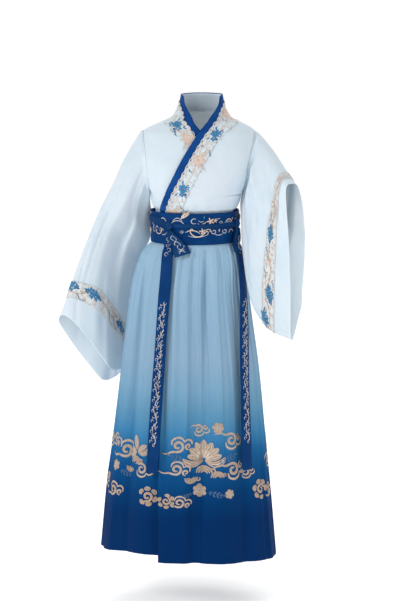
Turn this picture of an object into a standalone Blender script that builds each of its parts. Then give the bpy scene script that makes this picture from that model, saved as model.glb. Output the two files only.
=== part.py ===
"""Child's hanfu set, worn form: cross-collar blouse, sash with tie, and a pleated wrap skirt.

Frame: metres, +Z up, the front of the garment faces -Y, the wearer's left is +X.
The origin is the base of the neck, between the shoulder seams.

Lengths in the tables are millimetres. Places on the body are given as a turn about the
vertical (0 at the front centre, +90 at the wearer's left side, 180 at the back) and a height.
"""
import math

import bmesh
import bpy
from mathutils import Vector

MM = 0.001

# ---------------------------------------------------------------- driving dimensions (mm)
CLOTH = 1.6            # wall of the blouse and skirt
TRIM_WALL = 1.2        # wall of bands, strips and straps
SEAM = 0.4             # distance between two pieces sewn together
LAY = 0.4              # distance between a panel and what lies on it
NECK_LAY = 1.0         # the same on the neck's double curve
COLLAR_TOP = 50.0      # height of the collar at the nape
BLOUSE_HEM = -345.0    # hem of the blouse, tucked into the skirt
SASH_TOP = -218.0
SASH_FOOT = -291.0
SASH_WALL = 2.0
SASH_OUT = 12.2        # middle of the sash's wall, out from the blouse
TIE_OUT = 14.3
SKIRT_TOP = -274.0     # upper edge of the skirt, under the sash
SKIRT_HEM = -1033.5
WRAP_LIFT = (2.6, 6.0)  # distance between overlapping skirt layers, under the sash and below it
FRONT_LIFT = 5.4       # the outer front over the inner front
PLEATS = 22            # soft pleats all round
TRIM_WIDTH = 29.0      # embroidered strip beside the neckband
INNER_BAND_END = 0.74  # the inner band and strip end here, under the outer front
SLEEVE_TRIM = (0.815, 0.900)   # the sleeve's strip, in parts of the sleeve's length
TAIL_WIDTH = 26.0
ARMHOLE_TOP = -34.0
ARMHOLE_FOOT = -175.0
ARMHOLE_DEPTH = 58.0   # half of the armhole, front to back
SIDE = 90.0            # turn of the side seams

# Sections of the upper body: height, centre x, half width, front y, back y, side y
BODY = (
    # z      cx     half    front   back   side
    (52.0,   3.0,   46.0,  -23.0,  51.0,  12.0),
    (30.0,   3.0,   50.0,  -32.0,  60.0,  12.0),
    (14.0,   2.5,   55.5,  -42.0,  66.0,  11.0),
    (0.0,    2.0,   64.0,  -51.0,  72.0,  10.0),
    (-6.0,   1.0,   74.0,  -55.0,  75.0,  9.0),
    (-13.0,  0.0,   89.0,  -59.0,  78.0,  8.5),
    (-21.0, -1.0,  106.0,  -63.0,  80.0,  8.0),
    (-28.0, -2.0,  120.0,  -66.0,  82.0,  7.0),
    (-34.0, -3.0,  128.0,  -69.0,  83.0,  6.0),
    (-80.0, -5.5,  121.5,  -86.0,  88.0,  5.0),
    (-130.0, -8.2, 114.2,  -96.0,  87.0,  4.0),
    (-175.0, -10.8, 107.8, -97.0,  83.0,  3.0),
    (-190.0, -11.6, 104.6, -93.0,  79.5,  2.0),
    (-200.0, -12.4, 101.6, -87.0,  75.0,  1.0),
    (-209.0, -13.1, 97.6,  -80.5,  70.8,  0.0),
    (-216.0, -13.5, 91.8,  -76.8,  68.3,  0.0),
    (-225.0, -13.6, 90.3,  -75.3,  67.2,  0.0),
    (-291.0, -13.8, 90.0,  -75.0,  67.0,  0.0),
    (-350.0, -15.0, 93.0,  -77.0,  69.0,  0.0),
)

# Sections of the skirt, to the crests of its pleats
SKIRT = (
    # z       cx     half    front   back   depth of the pleats
    (-274.0, -13.8,  96.7,  -81.7,   73.7,  0.0),
    (-292.0, -14.0,  96.9,  -82.0,   74.0,  0.6),
    (-299.0, -15.6, 104.5,  -88.0,   80.0,  3.0),
    (-309.0, -18.0, 112.0,  -93.5,   85.5,  6.0),
    (-322.0, -20.4, 118.5,  -98.0,   90.0,  8.0),
    (-355.0, -22.5, 129.0,  -106.0,  99.0,  9.5),
    (-400.0, -24.8, 138.2,  -114.0,  108.0, 10.0),
    (-455.0, -25.2, 145.8,  -120.0,  116.0, 10.0),
    (-583.0, -24.2, 162.5,  -132.0,  130.0, 10.0),
    (-783.0, -26.8, 185.0,  -147.0,  148.0, 10.0),
    (-861.0, -28.5, 194.5,  -153.0,  155.0, 10.0),
    (-1045.0, -29.2, 211.5, -164.0,  167.0, 10.0),
)

# Folds deeper than the pleats: turn and height of both ends, depth, half width in degrees
SKIRT_FOLDS = (
    # turn0   z0      turn1   z1      depth  spread
    (15.0,  -300.0,   5.0, -1040.0,  13.0,   7.5),
    (-62.0, -300.0, -48.0, -1040.0,  10.0,   8.0),
    (50.0,  -300.0,  43.0, -1040.0,   9.0,   7.5),
    (118.0, -310.0, 112.0, -1040.0,  11.0,   8.0),
    (168.0, -300.0, 175.0, -1040.0,  13.0,   8.0),
    (-142.0, -310.0, -136.0, -1040.0, 11.0,  8.0),
)

# The neckband, nape to sash: turn and height of its free edge and of its sewn edge
NECKBAND = (
    # free turn, z       sewn turn, z
    (180.0,  50.0,   180.0,  31.0),
    (150.0,  50.0,   152.0,  31.0),
    (118.0,  50.0,   124.0,  31.0),
    (86.0,   50.0,   98.0,   31.0),
    (62.0,   47.5,   80.0,   29.0),
    (49.0,   30.0,   64.0,   20.5),
    (34.5,   16.0,   47.0,   7.5),
    (20.5,   3.0,    33.0,  -6.5),
    (10.5,  -9.7,    19.8,  -17.0),
    (1.2,   -28.0,    9.6,  -36.0),
    (-4.6,  -49.0,    3.6,  -57.0),
    (-11.4, -72.5,   -3.0,  -80.5),
    (-19.6, -102.0, -10.6, -110.0),
    (-26.8, -129.0, -17.6, -137.0),
    (-33.8, -155.0, -24.2, -162.0),
    (-40.6, -180.0, -30.6, -186.0),
    (-49.5, -204.0, -37.6, -208.0),
    (-56.0, -219.0, -42.0, -221.0),
    (-57.5, -236.0, -43.0, -237.0),
)

# Wearer's right sleeve: the arm hangs. Upper and lower edge, half opening, place of the widest
# part (1 is the middle, less is higher), the way from the front wall to the back wall, how far the
# middle sags, and the sag's lowest place and roundness (1 and 2 are a plain arc)
SLEEVE_RIGHT = (
    # along  top x, y, z            foot x, y, z             half  place  across x, y, z
    #        sag x, y, z            sag's place and roundness
    (0.06, (-139.0, 7.0, -37.0), (-118.5, 14.0, -201.0), 56.0, 0.85, (0.0, 1.0, 0.0),
     (-7.0, 0.0, 0.0), (1.0, 2.0)),
    (0.17, (-173.0, 6.0, -93.0), (-115.5, 41.0, -240.0), 51.0, 0.85, (0.1, 1.0, 0.0),
     (-12.0, -12.0, 0.0), (1.0, 2.0)),
    (0.30, (-201.0, 4.5, -156.0), (-119.0, 56.0, -290.0), 46.0, 0.78, (0.15, 0.95, -0.1),
     (-14.0, -16.0, 2.0), (1.0, 2.0)),
    (0.45, (-234.0, 3.0, -226.0), (-142.0, 72.0, -346.0), 40.0, 0.70, (0.2, 0.9, -0.2),
     (-12.0, -12.0, 4.0), (1.0, 2.0)),
    (0.70, (-281.5, 0.0, -337.0), (-167.0, 99.0, -464.0), 40.0, 0.80, (0.1, 0.9, -0.4),
     (-4.0, -13.0, 8.0), (1.0, 1.8)),
    (0.86, (-308.0, -2.0, -412.0), (-170.0, 112.0, -554.0), 38.0, 0.90, (0.1, 0.85, -0.5),
     (9.0, -11.0, 28.0), (0.95, 1.3)),
    (1.00, (-331.0, -3.0, -473.0), (-181.5, 114.0, -616.5), 42.5, 0.67, (-0.3, 0.8, -0.5),
     (10.0, -12.0, -57.0), (1.5, 1.28)),
)

# Wearer's left sleeve: the elbow is bent and the forearm comes forward
SLEEVE_LEFT = (
    (0.12, (136.0, -5.0, -41.5), (93.5, -9.0, -204.0), 47.0, 0.80, (0.1, 1.0, 0.0),
     (9.0, 0.0, 0.0), (1.0, 2.0)),
    (0.25, (145.0, -18.0, -52.0), (96.0, -24.0, -234.0), 42.0, 0.80, (0.3, 0.95, 0.0),
     (4.0, 0.0, 0.0), (1.0, 2.0)),
    (0.50, (166.0, -47.0, -79.0), (102.0, -50.0, -330.0), 36.0, 0.70, (0.5, 0.87, 0.0),
     (0.0, 0.0, 0.0), (1.0, 2.0)),
    (0.72, (184.0, -76.0, -109.0), (122.0, -84.0, -432.0), 32.0, 0.60, (0.65, 0.76, 0.0),
     (-2.0, 0.0, 0.0), (1.0, 2.0)),
    (0.86, (196.0, -97.0, -130.0), (160.0, -104.0, -484.0), 28.0, 0.50, (0.72, 0.69, 0.0),
     (1.0, 1.0, 0.0), (1.0, 2.0)),
    (1.00, (208.0, -117.0, -145.0), (211.5, -115.0, -508.5), 29.0, 0.50, (0.68, 0.73, 0.0),
     (13.0, 10.0, 8.0), (1.0, 2.0)),
)

# Creases of the sleeves: both ends as parts of the length and of the height, depth, half width.
# Front wall heights run 0 to 1, back wall heights 0 to -1.
CREASES_RIGHT = (
    (0.08, 0.85, 0.60, 0.62, -7.0, 0.07),
    (0.20, 0.50, 0.92, 0.42, 5.0, 0.08),
    (0.30, 0.78, 0.98, 0.86, 6.0, 0.06),
    (0.10, -0.60, 0.90, -0.50, -7.0, 0.09),
    (0.35, -0.85, 0.98, -0.75, 6.0, 0.07),
)
CREASES_LEFT = (
    (0.05, 0.80, 0.55, 0.75, -6.0, 0.08),
    (0.30, 0.35, 0.78, 0.30, 9.0, 0.08),
    (0.86, 0.22, 0.66, 0.42, -9.0, 0.05),
    (0.10, -0.55, 0.85, -0.45, -7.0, 0.09),
    (0.40, -0.85, 0.98, -0.80, 6.0, 0.07),
)

# Long ends of the tie: height, centre x
TAIL_RIGHT = ((-262.0, -75.0), (-330.0, -77.0), (-420.0, -84.0), (-560.0, -94.0),
              (-700.0, -102.0), (-815.0, -109.0))
TAIL_LEFT = ((-262.0, 84.0), (-330.0, 94.0), (-420.0, 98.5), (-560.0, 101.0),
             (-700.0, 104.0), (-815.0, 108.0))
KNOT_RIGHT = (-33.0, -247.0)     # turn and height
KNOT_LEFT = (65.0, -246.0)

# Colours (linear RGB), roughness
ICE = (0.70, 0.80, 0.88)
SKY = (0.32, 0.53, 0.72)
NAVY = (0.012, 0.045, 0.17)
ROYAL = (0.010, 0.070, 0.29)
BLOSSOM = (0.80, 0.72, 0.66)


# ---------------------------------------------------------------- sums that the pieces share
def smooth(t):
    """Ease from 0 to 1."""
    t = min(max(t, 0.0), 1.0)
    return t * t * (3.0 - 2.0 * t)


def read_table(rows, key):
    """Read the columns of a table at a key, along smooth curves through the rows."""
    keys = [row[0] for row in rows]
    falling = keys[0] > keys[-1]
    key = min(max(key, min(keys)), max(keys))
    place = 0
    while place < len(rows) - 2 and (key < keys[place + 1] if falling else key > keys[place + 1]):
        place += 1
    span = keys[place + 1] - keys[place]
    t = (key - keys[place]) / span
    values = []
    for column in range(1, len(rows[0])):
        low, high = rows[place][column], rows[place + 1][column]
        slope = (high - low) / span
        before = after = slope
        if place > 0:
            before = (low - rows[place - 1][column]) / (keys[place] - keys[place - 1])
        if place < len(rows) - 2:
            after = (rows[place + 2][column] - high) / (keys[place + 2] - keys[place + 1])
        start = 0.0 if before * slope <= 0 else 2 * before * slope / (before + slope)
        stop = 0.0 if after * slope <= 0 else 2 * after * slope / (after + slope)
        if place == 0:
            start = slope
        if place == len(rows) - 2:
            stop = slope
        t2, t3 = t * t, t * t * t
        values.append((2 * t3 - 3 * t2 + 1) * low + (t3 - 2 * t2 + t) * span * start
                      + (3 * t2 - 2 * t3) * high + (t3 - t2) * span * stop)
    return values


def moved_out(surface, a, b, out, step_a=0.2, step_b=0.4):
    """A point of a surface, moved out along its normal."""
    here = surface(a, b)
    if not out:
        return here
    along_a = surface(a + step_a, b) - surface(a - step_a, b)
    along_b = surface(a, b - step_b) - surface(a, b + step_b)
    return here + along_b.cross(along_a).normalized() * out


# ---------------------------------------------------------------- the body's surface
def armhole(z):
    """How far the armhole stands open at a height, 0 to 1."""
    along = (ARMHOLE_TOP - z) / (ARMHOLE_TOP - ARMHOLE_FOOT)
    return math.sqrt(math.sin(math.pi * along)) if 0.0 < along < 1.0 else 0.0


def body_surface(turn, z):
    """The blouse's middle layer."""
    cx, half, front, back, side_y = read_table(BODY, z)
    sine, cosine = math.sin(math.radians(turn)), math.cos(math.radians(turn))
    gap = armhole(z) * ARMHOLE_DEPTH
    flat = smooth(armhole(z) * 1.2)
    round_off = (1.0 - flat) * abs(cosine) + flat * (1.0 - abs(sine) ** 2.6)
    if cosine >= 0:
        y = side_y - gap - (side_y - gap - front) * round_off
    else:
        y = side_y + gap + (back - side_y - gap) * round_off
    return Vector((cx + half * sine, y, z))


def on_body(turn, z, out):
    """A point of the blouse, moved out; the side seams' points share their normal."""
    near_side = abs(abs(turn) - SIDE)
    if near_side < 1.0 and out:
        inward = turn - math.copysign(1.5, turn) * (1.0 if abs(turn) <= SIDE else -1.0)
        shift = moved_out(body_surface, inward, z, out) - body_surface(inward, z)
        if ARMHOLE_FOOT - 1.0 < z < ARMHOLE_TOP + 1.0:
            shift.x = 0.0
            shift *= abs(out) / shift.length
        return body_surface(turn, z) + shift
    return moved_out(body_surface, turn, z, out)


def front_lift(turn, z):
    """How far the outer front stands off the inner one."""
    flat = 1.0 - 0.4 * smooth((-z - 203.0) / 20.0)
    return FRONT_LIFT * flat * smooth((-z - 2.0) / 20.0) * smooth((89.0 - turn) / 22.0)


def on_sash(turn, z, out):
    """A point of the sash, whose section stays that of the waist."""
    point = on_body(turn, min(z, -228.0), out)
    return Vector((point.x, point.y, z))


# ---------------------------------------------------------------- the skirt's surface
def hem_height(turn):
    """The hem is a little lower at the wearer's left and at the back."""
    angle = math.radians(turn)
    return SKIRT_HEM - 8.5 * math.sin(angle) + 6.0 * math.cos(angle)


def crease(a, b, a0, b0, a1, b1, spread):
    """1 on the line from (a0, b0) to (a1, b1), falling to 0 beside it and past its ends."""
    da, db = a1 - a0, b1 - b0
    t = ((a - a0) * da + (b - b0) * db) / (da * da + db * db)
    near = min(max(t, 0.0), 1.0)
    away = math.hypot(a - a0 - near * da, b - b0 - near * db)
    return math.exp(-(away / spread) ** 2) * smooth(1.0 - 2.0 * abs(t - near))


def skirt_depth(turn, z):
    """How far the cloth falls back from the pleats' crests."""
    depth = read_table(SKIRT, z)[4]
    angle = math.radians(turn)
    phase = PLEATS * angle + 1.6 * math.sin(2 * angle + 0.7) + 1.1 * math.sin(5 * angle)
    lower = smooth((-z - 380.0) / 500.0)
    fine = 0.5 - 0.5 * math.cos(phase)
    broad = 0.5 - 0.5 * math.cos(0.5 * phase + 0.9)
    uneven = 0.75 + 0.25 * math.sin(3 * angle + 1.0)
    fall = depth * uneven * ((0.75 - 0.45 * lower) * fine + (0.25 + 0.4 * lower) * broad)
    for turn0, z0, turn1, z1, fold, spread in SKIRT_FOLDS:
        t = smooth((z - z0) / (z1 - z0)) * 0.5 + 0.5 * min(max((z - z0) / (z1 - z0), 0.0), 1.0)
        offset = (turn - turn0 - (turn1 - turn0) * t + 180.0) % 360.0 - 180.0
        fade = smooth((z0 - z) / 120.0) * (1.0 - 0.45 * smooth((-z - 700.0) / 340.0))
        fall += fold * math.exp(-(offset / spread) ** 2) * fade
    return fall


def skirt_surface(turn, z, lift=0.0):
    """The skirt's cloth, with its pleats, lifted off the layer under it."""
    cx, half, front, back, _ = read_table(SKIRT, z)
    sine, cosine = math.sin(math.radians(turn)), math.cos(math.radians(turn))
    fall = skirt_depth(turn, z) - lift
    deep = (-front if cosine >= 0 else back) - fall
    return Vector((cx + (half - fall) * sine, -deep * cosine, z))


def wrap_edge(z):
    """Turn of the free edge of the front width."""
    return read_table(((-262.0, -34.0), (-300.0, -32.0), (-485.0, -25.0), (-630.0, -23.0),
                       (-1045.0, -18.5)), z)[0]


def wrap_lift(turn, z):
    """How far the front width stands off the one under it."""
    layer = mix(*WRAP_LIFT, smooth((-z - 284.0) / 36.0)) * smooth((92.0 - turn) / 26.0)
    edge = 9.0 * smooth((-z - 420.0) / 500.0) * smooth(1.0 - (turn - wrap_edge(z)) / 16.0)
    return layer + edge


def crest_surface(turn, z):
    """The skirt's outline over the front width's lift, without its pleats."""
    cx, half, front, back, _ = read_table(SKIRT, z)
    sine, cosine = math.sin(math.radians(turn)), math.cos(math.radians(turn))
    edge = wrap_edge(z)
    lift = wrap_lift(max(turn, edge), z) * smooth((turn - edge + 18.0) / 12.0)
    deep = (-front if cosine >= 0 else back) + lift
    return Vector((cx + (half + lift) * sine, -deep * cosine, z))


# ---------------------------------------------------------------- the sleeves' surfaces
def sleeve_ring(row, turn):
    """A point of one section; turns 0 to 180 are the front wall, 180 to 360 the back wall."""
    _, top, foot, half, place, across, sag, (lowest, roundness) = row
    angle = math.radians(turn)
    along = (1.0 - math.cos(angle)) / 2.0
    opening = half * math.sqrt(max(math.sin(math.pi * along ** place), 0.0))
    way = Vector(across).normalized()
    side = -1.0 if math.sin(angle) > 0 else 1.0
    hang = 1.0 - abs(2.0 * along ** lowest - 1.0) ** roundness
    point = Vector(top).lerp(Vector(foot), along) + Vector(sag) * hang
    return point + way * (opening * side)


def armhole_ring(side, turn):
    """The sleeve's first section, a seam's width out from the armhole."""
    angle = math.radians(turn)
    along = (1.0 - math.cos(angle)) / 2.0
    z = ARMHOLE_TOP + (ARMHOLE_FOOT - ARMHOLE_TOP) * along
    cx, half, _, _, side_y = read_table(BODY, z)
    y = side_y + armhole(z) * ARMHOLE_DEPTH * (-1.0 if math.sin(angle) > 0 else 1.0)
    away = SEAM + 0.3 + 0.7 * smooth((along - 0.85) / 0.15)
    return Vector((cx + side * (half + away), y, z))


def make_sleeve_surface(side, rows, creases):
    """A function of the turn and of the place along the sleeve, 0 at the armhole to 1."""
    stations = [0.0] + [row[0] for row in rows]

    def section(index, turn):
        return armhole_ring(side, turn) if index == 0 else sleeve_ring(rows[index - 1], turn)

    def surface(turn, along):
        turn = turn % 360.0
        last = len(stations) - 1
        place = 0
        while place < last - 1 and along > stations[place + 1]:
            place += 1
        span = stations[place + 1] - stations[place]
        t = (along - stations[place]) / span
        low, high = section(place, turn), section(place + 1, turn)
        before = section(max(place - 1, 0), turn)
        after = section(min(place + 2, last), turn)
        start = (high - before) * (span / (stations[place + 1] - stations[max(place - 1, 0)]))
        stop = (after - low) * (span / (stations[min(place + 2, last)] - stations[place]))
        t2, t3 = t * t, t * t * t
        point = (low * (2 * t3 - 3 * t2 + 1) + start * (t3 - 2 * t2 + t)
                 + high * (3 * t2 - 2 * t3) + stop * (t3 - t2))
        height = (1.0 - math.cos(math.radians(turn))) / 2.0
        height = height if turn <= 180.0 else -height
        push = sum(depth * crease(along, height, a0, b0, a1, b1, spread)
                   for a0, b0, a1, b1, depth, spread in creases)
        way = Vector(rows[min(place, len(rows) - 1)][5]).normalized()
        return point + way * (push * (-1.0 if turn <= 180.0 else 1.0))
    return surface


right_sleeve_surface = make_sleeve_surface(-1.0, SLEEVE_RIGHT, CREASES_RIGHT)
left_sleeve_surface = make_sleeve_surface(1.0, SLEEVE_LEFT, CREASES_LEFT)


# ---------------------------------------------------------------- making the solids
def material(name, colour, roughness):
    """A plain cloth colour."""
    cloth = bpy.data.materials.new(name)
    cloth.use_nodes = True
    shader = cloth.node_tree.nodes["Principled BSDF"]
    shader.inputs["Base Color"].default_value = (*colour, 1.0)
    shader.inputs["Roughness"].default_value = roughness
    shader.inputs["Metallic"].default_value = 0.0
    return cloth


def finish(name, mesh_data, finish_material):
    """Turn a bmesh in millimetres into a smooth-shaded object in metres."""
    bmesh.ops.recalc_face_normals(mesh_data, faces=mesh_data.faces)
    if mesh_data.calc_volume(signed=True) < 0.0:
        bmesh.ops.reverse_faces(mesh_data, faces=mesh_data.faces)
    bmesh.ops.scale(mesh_data, vec=(MM, MM, MM), verts=mesh_data.verts)
    bmesh.ops.triangulate(mesh_data, faces=mesh_data.faces)
    mesh = bpy.data.meshes.new(name)
    mesh_data.to_mesh(mesh)
    mesh_data.free()
    mesh.shade_smooth()
    mesh.set_sharp_from_angle(angle=math.radians(50))
    mesh.materials.append(finish_material)
    piece = bpy.data.objects.new(name, mesh)
    bpy.context.collection.objects.link(piece)
    return piece


def cloth_wall(name, place, columns, rows, wall, finish_material, loop=False):
    """A wall of cloth. place(u, v, out) gives a point; u and v run 0 to 1.

    rows and columns are numbers of steps, or lists of places from 0 to 1. With loop the
    columns close into a tube.
    """
    across = columns if isinstance(columns, (list, tuple)) else [i / columns for i in range(columns + 1)]
    down = rows if isinstance(rows, (list, tuple)) else [j / rows for j in range(rows + 1)]
    grid = bmesh.new()
    bmesh.ops.create_grid(grid, x_segments=len(across) - 1, y_segments=len(down) - 1, size=0.5)
    column_layer = grid.verts.layers.int.new("column")
    row_layer = grid.verts.layers.int.new("row")
    for vertex in grid.verts:
        vertex[column_layer] = round((vertex.co.x + 0.5) * (len(across) - 1))
        vertex[row_layer] = round((vertex.co.y + 0.5) * (len(down) - 1))
    if loop:
        first = {v[row_layer]: v for v in grid.verts if v[column_layer] == 0}
        last = [v for v in grid.verts if v[column_layer] == len(across) - 1]
        bmesh.ops.weld_verts(grid, targetmap={v: first[v[row_layer]] for v in last})
    outer = list(grid.verts)
    made = bmesh.ops.extrude_face_region(grid, geom=list(grid.faces))
    inner = [part for part in made["geom"] if isinstance(part, bmesh.types.BMVert)]
    for layer, out in ((outer, wall / 2.0), (inner, -wall / 2.0)):
        for vertex in layer:
            vertex.co = place(across[vertex[column_layer]], down[vertex[row_layer]], out)
    return finish(name, grid, finish_material)


def mix(low, high, t):
    """Between two numbers."""
    return low + (high - low) * t


# ---------------------------------------------------------------- the neckband's two edges
def band_rows(side):
    """The neckband's table, or its mirror image for the inner front."""
    if side > 0:
        return NECKBAND
    rows = []
    for free_turn, free_z, sewn_turn, sewn_z in NECKBAND:
        rows.append((mirrored(free_turn, free_z), free_z, mirrored(sewn_turn, sewn_z), sewn_z))
    return rows


def mirrored(turn, z):
    """The turn of a point's mirror image; the mirror stands upright through the neck."""
    if turn > 95.0:
        return -turn
    cx, half = read_table(BODY, z)[:2]
    middle = cx * (smooth((z + 12.0) / 22.0) + smooth((-z - 30.0) / 70.0))
    x = 2.0 * middle - (cx + half * math.sin(math.radians(turn)))
    sine = min(max((x - cx) / half, -1.0), 1.0)
    found = math.degrees(math.asin(sine))
    return -180.0 - found if turn > 90.0 else found


def band_point(side, along, across):
    """Turn and height on the neckband; along 0 at the nape, across 0 at the free edge."""
    rows = [(index, *row) for index, row in enumerate(band_rows(side))]
    free_turn, free_z, sewn_turn, sewn_z = read_table(rows, along * (len(rows) - 1))
    return mix(free_turn, sewn_turn, across), mix(free_z, sewn_z, across)


def spread_places(side, start, stop, count):
    """Places along the neckband, closer together where it turns more."""
    samples = 240
    reach = [0.0]
    before = band_point(side, start, 1.0)
    for index in range(1, samples + 1):
        here = band_point(side, mix(start, stop, index / samples), 1.0)
        step = (body_surface(*here) - body_surface(*before)).length
        reach.append(reach[-1] + step + 0.9 * abs(here[0] - before[0]))
        before = here
    places = []
    index = 0
    for number in range(count + 1):
        wanted = reach[-1] * number / count
        while index < samples - 1 and reach[index + 1] < wanted:
            index += 1
        part = (wanted - reach[index]) / (reach[index + 1] - reach[index])
        places.append(mix(start, stop, (index + part) / samples))
    return places


def edge_turn(side, z):
    """Turn of a front's free edge at a height."""
    rows = [(row[1], row[0]) for row in band_rows(side)[4:]]
    rows.insert(0, (COLLAR_TOP - 1.5, rows[0][1] + side * 3.0))
    rows.append((BLOUSE_HEM - 10.0, rows[-1][1]))
    return read_table(rows, z)[0]


def panel_lift(side, turn, z):
    """Offset of the front that a band lies on."""
    return front_lift(turn, z) if side > 0 and turn < SIDE else 0.0


# ---------------------------------------------------------------- the blouse
BODY_ROWS = (48.5, 38.0, 27.0, 15.0, 6.0, 0.0, -5.0, -11.0, -18.0, -26.0, -34.0, -40.0, -56.0, -84.0, -116.0,
             -146.0, -168.0, -175.0, -190.0, -200.0, -209.0, -216.0, -225.0, -250.0, BLOUSE_HEM)
ROW_SHARE = [index / (len(BODY_ROWS) - 1) for index in range(len(BODY_ROWS))]


def body_row(v):
    """Height of one of the body's rows."""
    return BODY_ROWS[round(v * (len(BODY_ROWS) - 1))]


def seam_turn(z):
    """A side seam's half gap, as a turn."""
    _, _, front, back, _ = read_table(BODY, z)
    return math.degrees(SEAM / 2.0 / (0.5 * (back - front)))


def add_blouse(cloth):
    """Back and the two fronts."""
    def back(u, v, out):
        z = body_row(v)
        gap = seam_turn(z)
        turn = mix(SIDE + gap, 360.0 - SIDE - gap, u)
        return on_body(turn if turn <= 180.0 else turn - 360.0, z, out)

    def outer(u, v, out):
        z = body_row(v)
        turn = mix(edge_turn(1.0, z) + 1.2, SIDE - seam_turn(z), u)
        return on_body(turn, z, out + front_lift(turn, z))

    def inner(u, v, out):
        z = body_row(v)
        return on_body(mix(-SIDE + seam_turn(z), edge_turn(-1.0, z) - 1.2, u), z, out)

    cloth_wall("blouse_back", back, 18, ROW_SHARE, CLOTH, cloth)
    cloth_wall("blouse_front_outer", outer, 13, ROW_SHARE, CLOTH, cloth)
    cloth_wall("blouse_front_inner", inner, 12, ROW_SHARE, CLOTH, cloth)


def add_neckband(name, side, band_cloth):
    """One half of the neckband, from the nape to the sash, on the blouse's cloth."""
    out_from_panel = CLOTH / 2 + NECK_LAY + TRIM_WALL / 2
    steps = 40 if side > 0 else 34
    places = spread_places(side, 0.003, 1.0 if side > 0 else INNER_BAND_END, steps)

    def place(u, v, out):
        turn, z = band_point(side, places[round(v * steps)], u)
        return on_body(turn, z, out + out_from_panel + panel_lift(side, turn, z))

    cloth_wall(name, place, 2, steps, TRIM_WALL, band_cloth)


def add_neck_trim(name, side, trim_cloth):
    """The scalloped strip; its scallops lie over the neckband, the rest on the blouse.

    Under the outer front the inner strip lies flat beside its band.
    """
    on_panel = CLOTH / 2 + NECK_LAY + TRIM_WALL / 2
    on_band = on_panel + TRIM_WALL + NECK_LAY
    scallops = 16 if side > 0 else 13
    steps = 3 * scallops
    places = spread_places(side, 0.003, 0.955 if side > 0 else INNER_BAND_END, steps)

    def place(u, v, out):
        along = places[round(v * steps)]
        free_turn, free_z = band_point(side, along, 0.0)
        sewn_turn, sewn_z = band_point(side, along, 1.0)
        way_turn, way_z = sewn_turn - free_turn, sewn_z - free_z
        unit = (body_surface(sewn_turn, sewn_z) - body_surface(free_turn, free_z)).length
        shown = 1.0 if side > 0 else smooth((0.50 - along) / 0.03)
        raised = 1.0 if side > 0 else smooth((0.54 - along) / 0.03)
        scallop = 2.6 * abs(math.sin(math.pi * v * scallops))
        distance = (mix(LAY, -1.0 - scallop, shown), mix(2.2, 1.2, shown), 5.2, 16.5, TRIM_WIDTH)[round(4 * u)]
        level = mix(on_panel, on_band, raised) if u < 0.3 else on_panel
        turn = sewn_turn + way_turn / unit * distance
        z = sewn_z + way_z / unit * distance
        return on_body(turn, z, out + level + panel_lift(side, turn, z))

    cloth_wall(name, place, 4, steps, TRIM_WALL, trim_cloth)


def add_sleeves(cloth, trim_cloth):
    """Both sleeves, and the embroidered strip round each."""
    first, last = SLEEVE_TRIM
    lengths = [0.0, 0.05, 0.12, 0.21, 0.31, 0.41, 0.51, 0.61, 0.71, 0.77, first, mix(first, last, 0.5),
               last, 0.95, 1.0]
    for name, side, surface in (("right", -1, right_sleeve_surface), ("left", 1, left_sleeve_surface)):
        def on_sleeve(turn, along, out, side=side, here=surface):
            if along > 0.0:
                return moved_out(here, turn, along, side * out, 0.5, 0.004)
            start = here(turn, 0.0)
            shift = moved_out(here, turn, 0.004, side * out, 0.5, 0.003) - here(turn, 0.004)
            shift.x = 0.0
            return start + shift * (abs(out) / shift.length)

        def wall(u, v, out, lay=on_sleeve):
            return lay(360.0 * u, v, out)

        def strip(u, v, out, lay=on_sleeve):
            along = mix(SLEEVE_TRIM[0], SLEEVE_TRIM[1], v)
            return lay(360.0 * u, along, out + CLOTH / 2 + LAY + TRIM_WALL / 2)

        cloth_wall("sleeve_" + name, wall, 24, lengths, CLOTH, cloth, loop=True)
        cloth_wall("sleeve_trim_" + name, strip, 24, 2, TRIM_WALL, trim_cloth, loop=True)


# ---------------------------------------------------------------- sash, tie, knots and ends
def add_sash(sash_cloth, tie_cloth):
    """The sash, and the narrow tie round it."""
    def sash(u, v, out):
        turn = 360.0 * u - 180.0
        return on_sash(turn, mix(SASH_TOP, SASH_FOOT, v), out + SASH_OUT)

    def tie(u, v, out):
        turn = 360.0 * u - 180.0
        beside = smooth((KNOT_RIGHT[0] - turn) / 25.0) + smooth((turn - KNOT_LEFT[0]) / 25.0)
        middle = mix(KNOT_RIGHT[1], -236.0, beside)
        half_width = mix(5.0, 8.0, beside)
        return on_sash(turn, middle + half_width * (1 - 2 * v), out + TIE_OUT)

    cloth_wall("waistband", sash, 44, 2, SASH_WALL, sash_cloth, loop=True)
    cloth_wall("belt_tie", tie, 44, 1, TRIM_WALL, tie_cloth, loop=True)


def outline(turn, z):
    """Outermost cloth of the waist: the sash, and below it the crests of the skirt."""
    on_waist = on_sash(turn, z, SASH_OUT + SASH_WALL / 2)
    crest = crest_surface(turn, min(z, SKIRT_TOP))
    crest.z = z
    return on_waist.lerp(crest, smooth((SASH_FOOT + 8.0 - z) / 26.0))


def add_knot(name, knot, tie_cloth):
    """A flat round knot on the tie."""
    turn, z = knot
    ball = bmesh.new()
    bmesh.ops.create_uvsphere(ball, u_segments=12, v_segments=7, radius=1.0)
    middle = on_sash(turn, z, TIE_OUT + TRIM_WALL / 2 + LAY + 5.2)
    out = (middle - on_sash(turn, z, TIE_OUT)).normalized()
    along = Vector((0, 0, 1)).cross(out).normalized()
    for vertex in ball.verts:
        x, y, h = vertex.co
        vertex.co = middle + along * (x * 8.0) + out * (y * 5.0) + Vector((0, 0, 9.5 * h))
    finish(name, ball, tie_cloth)


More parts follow.
